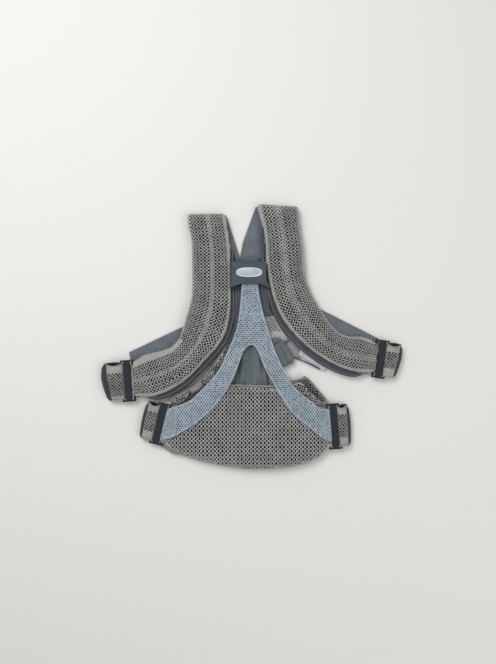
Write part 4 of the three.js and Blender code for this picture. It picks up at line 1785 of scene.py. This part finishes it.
def sleeve(name):
    """A flattened band of mesh round the buckle's outer rod, plain at its ends, with a bound outer edge."""
    middle, along, out, half = buckle_axes(name)
    node = np.array([v.co for v in NODES[f"{name}_sleeve"].data.vertices])
    offsets = node[:, :2] - middle
    u = offsets @ out
    start, end = u.min(), u.max()
    high = node[:, 2].max()
    shoulder = name.endswith("shoulder")
    narrow = SHOULDER_NARROWING if shoulder else WAIST_NARROWING
    depth = high * SLEEVE_DEPTH
    crescent = name == "left_shoulder"
    width = (end - start) * (1.0 if crescent or not shoulder else RIGHT_SHOULDER_WIDENING)
    angles = np.linspace(-math.pi / 2, 1.5 * math.pi, 721)
    ring = np.array([sleeve_section(a, width, depth) for a in angles])
    steps = arc_lengths(ring)
    total = steps[-1]
    columns = 2 * round(total / STRAP_CELL[1])
    pitch = total / columns
    loop = np.array([(0, -half), (total, -half), (total, half), (0, half)])

    def place_at(points, shrink=0.0):
        result = []
        for d, v in points:
            share = (v + half) / (2 * half)
            w = width * (narrow + (1 - narrow) * min(share * 1.6, 1.0))
            angle = float(np.interp(d, steps, angles))
            x, z = sleeve_section(angle, w - 2 * shrink, depth - 2 * shrink)
            upper = max(z, 0) / (depth / 2)
            bow = math.sin(min(max(x / w, 0), 1) * math.pi)
            lean = 0.0042 * upper * max(0.0, (share - 0.80) / 0.20) * bow
            ends = 1 - 0.10 * math.exp(-((share / 0.07) ** 2)) - 0.05 * math.exp(-(((1 - share) / 0.07) ** 2))
            crown = 0.05 * math.sin(share * math.pi)
            plan = middle + out * (start + shrink + x) + along * (v - lean)
            result.append((plan[0], plan[1], high / 2 + z * (0.92 + crown) * ends))
        return result

    plain_top, plain_bottom = CRESCENT_PLAIN if crescent else SLEEVE_PLAIN

    def allowed(points):
        return (points[:, 1] < half - plain_top) & (points[:, 1] > -half + plain_bottom)

    band = perforated_panel(
        f"{name}_sleeve_cloth", loop, MESH_TAUPE, place_at, pitch, STRAP_CELL[0], SLEEVE_HOLE, 0.0026,
        0.0010, fine=0.0025, weak=0.84, vary=0.12, allowed=allowed,
    )
    points, faces = plan_mesh(loop, 0.004)
    # A near-black lining inside the band paints the shadow within the sleeve.
    inner = new_object(f"{name}_sleeve_inside_painted_shade", place_at(points, SLEEVE_LINING_GAP), faces, PAD_PAINTED_SHADE, points)
    face_outward(inner)
    thicken(inner, 0.0004)
    parts = [band]
    for v in (-half + 0.0008, half - 0.0008):
        ring_points = [(d, v) for d in np.linspace(0, total, 90)]
        parts.append(tube("hem", place_at(ring_points), 0.0009, MESH_PLAIN, 8))
    for v in (-half + plain_bottom - 0.001, half - plain_top + 0.001):
        row = [(d, v) for d in np.linspace(total * 0.27, total * 0.73, 60)]
        lifted_row = [(x, y, z + 0.0001) for x, y, z in place_at(row)]
        parts.append(stitches("seam", lifted_row, MESH_PLAIN, 0.0022, 0.0014, 0.0003))
    band = join(f"{name}_sleeve_cloth", parts)
    trim = sleeve_trim(name, middle, along, out, half, start, width, narrow, high)
    frame_piece = dressed(f"{name}_buckle_frame", FRAME_DARK, 0.0009)
    for piece in (band, inner, trim, frame_piece):
        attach(piece, f"{name}_buckle")
    declare_sheet(loop)
    declare_sheet(loop)
    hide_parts(f"{name}_sleeve")
    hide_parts(f"{name}_sleeve_trim")


def sleeve_trim(name, middle, along, out, half, start, width, narrow, high):
    """The bound outer edge: a crescent of tape that runs on, thin, along the sleeve's mouth to the bar. On
    the waist sleeves the tape is widened to take in the sleeve's shadowed side, which is painted shade.
    """
    crescent = name == "left_shoulder"
    middle_z = high / 2
    line, radii = [], []
    for k in range(49):
        share = k / 48
        w = width * (narrow + (1 - narrow) * min(share * 1.6, 1.0))
        bow = math.sin(share * math.pi)
        v = (half - 0.0012) * (2 * share - 1)
        radius = 0.0038 + 0.0021 * bow if crescent else 0.0024 + 0.0010 * bow
        reach = 0.0030 + 0.0012 * bow if crescent else 0.0012 + 0.0006 * bow
        reach -= 0.0050 * max(0.0, (share - 0.86) / 0.14) ** 2 + 0.0030 * max(0.0, (0.10 - share) / 0.10) ** 2
        plan = middle + out * (start + w + reach) + along * v
        line.append((plan[0], plan[1], middle_z))
        radii.append(radius)
    outer = tube("outer", line, radii, TRIM_DARK, 20, 1.25 if crescent else 1.6)
    line = []
    for k in range(26):
        share = k / 25
        outward = start + width + 0.001 - (width - 0.004) * share
        sideways = half - 0.0004 + 0.0012 * math.sin(share * math.pi)
        plan = middle + out * outward + along * sideways
        line.append((plan[0], plan[1], middle_z + 0.0006 + 0.0012 * share))
    # The thin dark run along the mouth is partly its binding and partly painted shadow in the opening.
    mouth = tube("mouth", line, 0.0016, TRIM_DARK, 12, 1.5)
    return join(f"{name}_sleeve_trim_tape", [outer, mouth])


# ---------------------------------------------------------------- the whole carrier

for strap_side in ("left", "right"):
    shoulder_strap(strap_side)
brace(lumbar_panel())
yoke()
pouch()
side_flaps()
corner_tab()
care_label()
for end_name in ("left_shoulder", "right_shoulder", "left_waist", "right_waist"):
    sleeve(end_name)


# ---------------------------------------------------------------- floor, light and camera


FLOOR_SIZE = 6
FLOOR_Z = -0.0006
CAMERA_PLACE = (-0.007, 0.0075, 1.145)
CAMERA_LENS = 35
SENSOR = 36
SKY_COLOUR = (0.93, 0.95, 1.0, 1.0)
SKY_STRENGTH = 0.55
LAMPS = (
    ("key", (-0.7, 0.9, 1.5), 0.9, 22),
    ("fill", (1.1, -0.6, 1.4), 1.2, 9),
)


def studio():
    bpy.ops.mesh.primitive_plane_add(size=FLOOR_SIZE, location=(0, 0, FLOOR_Z))
    floor = bpy.context.object
    floor.name = "floor"
    material, _, shader = nodes_of("floor")
    shader.inputs["Base Color"].default_value = rgb("#d9d6d0")
    shader.inputs["Roughness"].default_value = 0.8
    floor.data.materials.append(material)

    world = bpy.data.worlds.new("studio")
    bpy.context.scene.world = world
    world.use_nodes = True
    background = world.node_tree.nodes["Background"]
    background.inputs["Color"].default_value = SKY_COLOUR
    background.inputs["Strength"].default_value = SKY_STRENGTH

    for name, place, size, power in LAMPS:
        lamp = bpy.data.lights.new(name, "AREA")
        lamp.size = size
        lamp.energy = power
        holder = bpy.data.objects.new(name, lamp)
        bpy.context.scene.collection.objects.link(holder)
        holder.location = place
        holder.rotation_euler = (Vector((0, 0, 0)) - Vector(place)).to_track_quat("-Z", "Y").to_euler()

    camera_data = bpy.data.cameras.new("camera")
    camera_data.sensor_width = SENSOR
    camera_data.lens = CAMERA_LENS
    camera = bpy.data.objects.new("camera", camera_data)
    bpy.context.scene.collection.objects.link(camera)
    camera.location = CAMERA_PLACE
    camera.rotation_euler = (0, 0, 0)
    bpy.context.scene.camera = camera
    bpy.context.scene.view_settings.view_transform = "Standard"


studio()
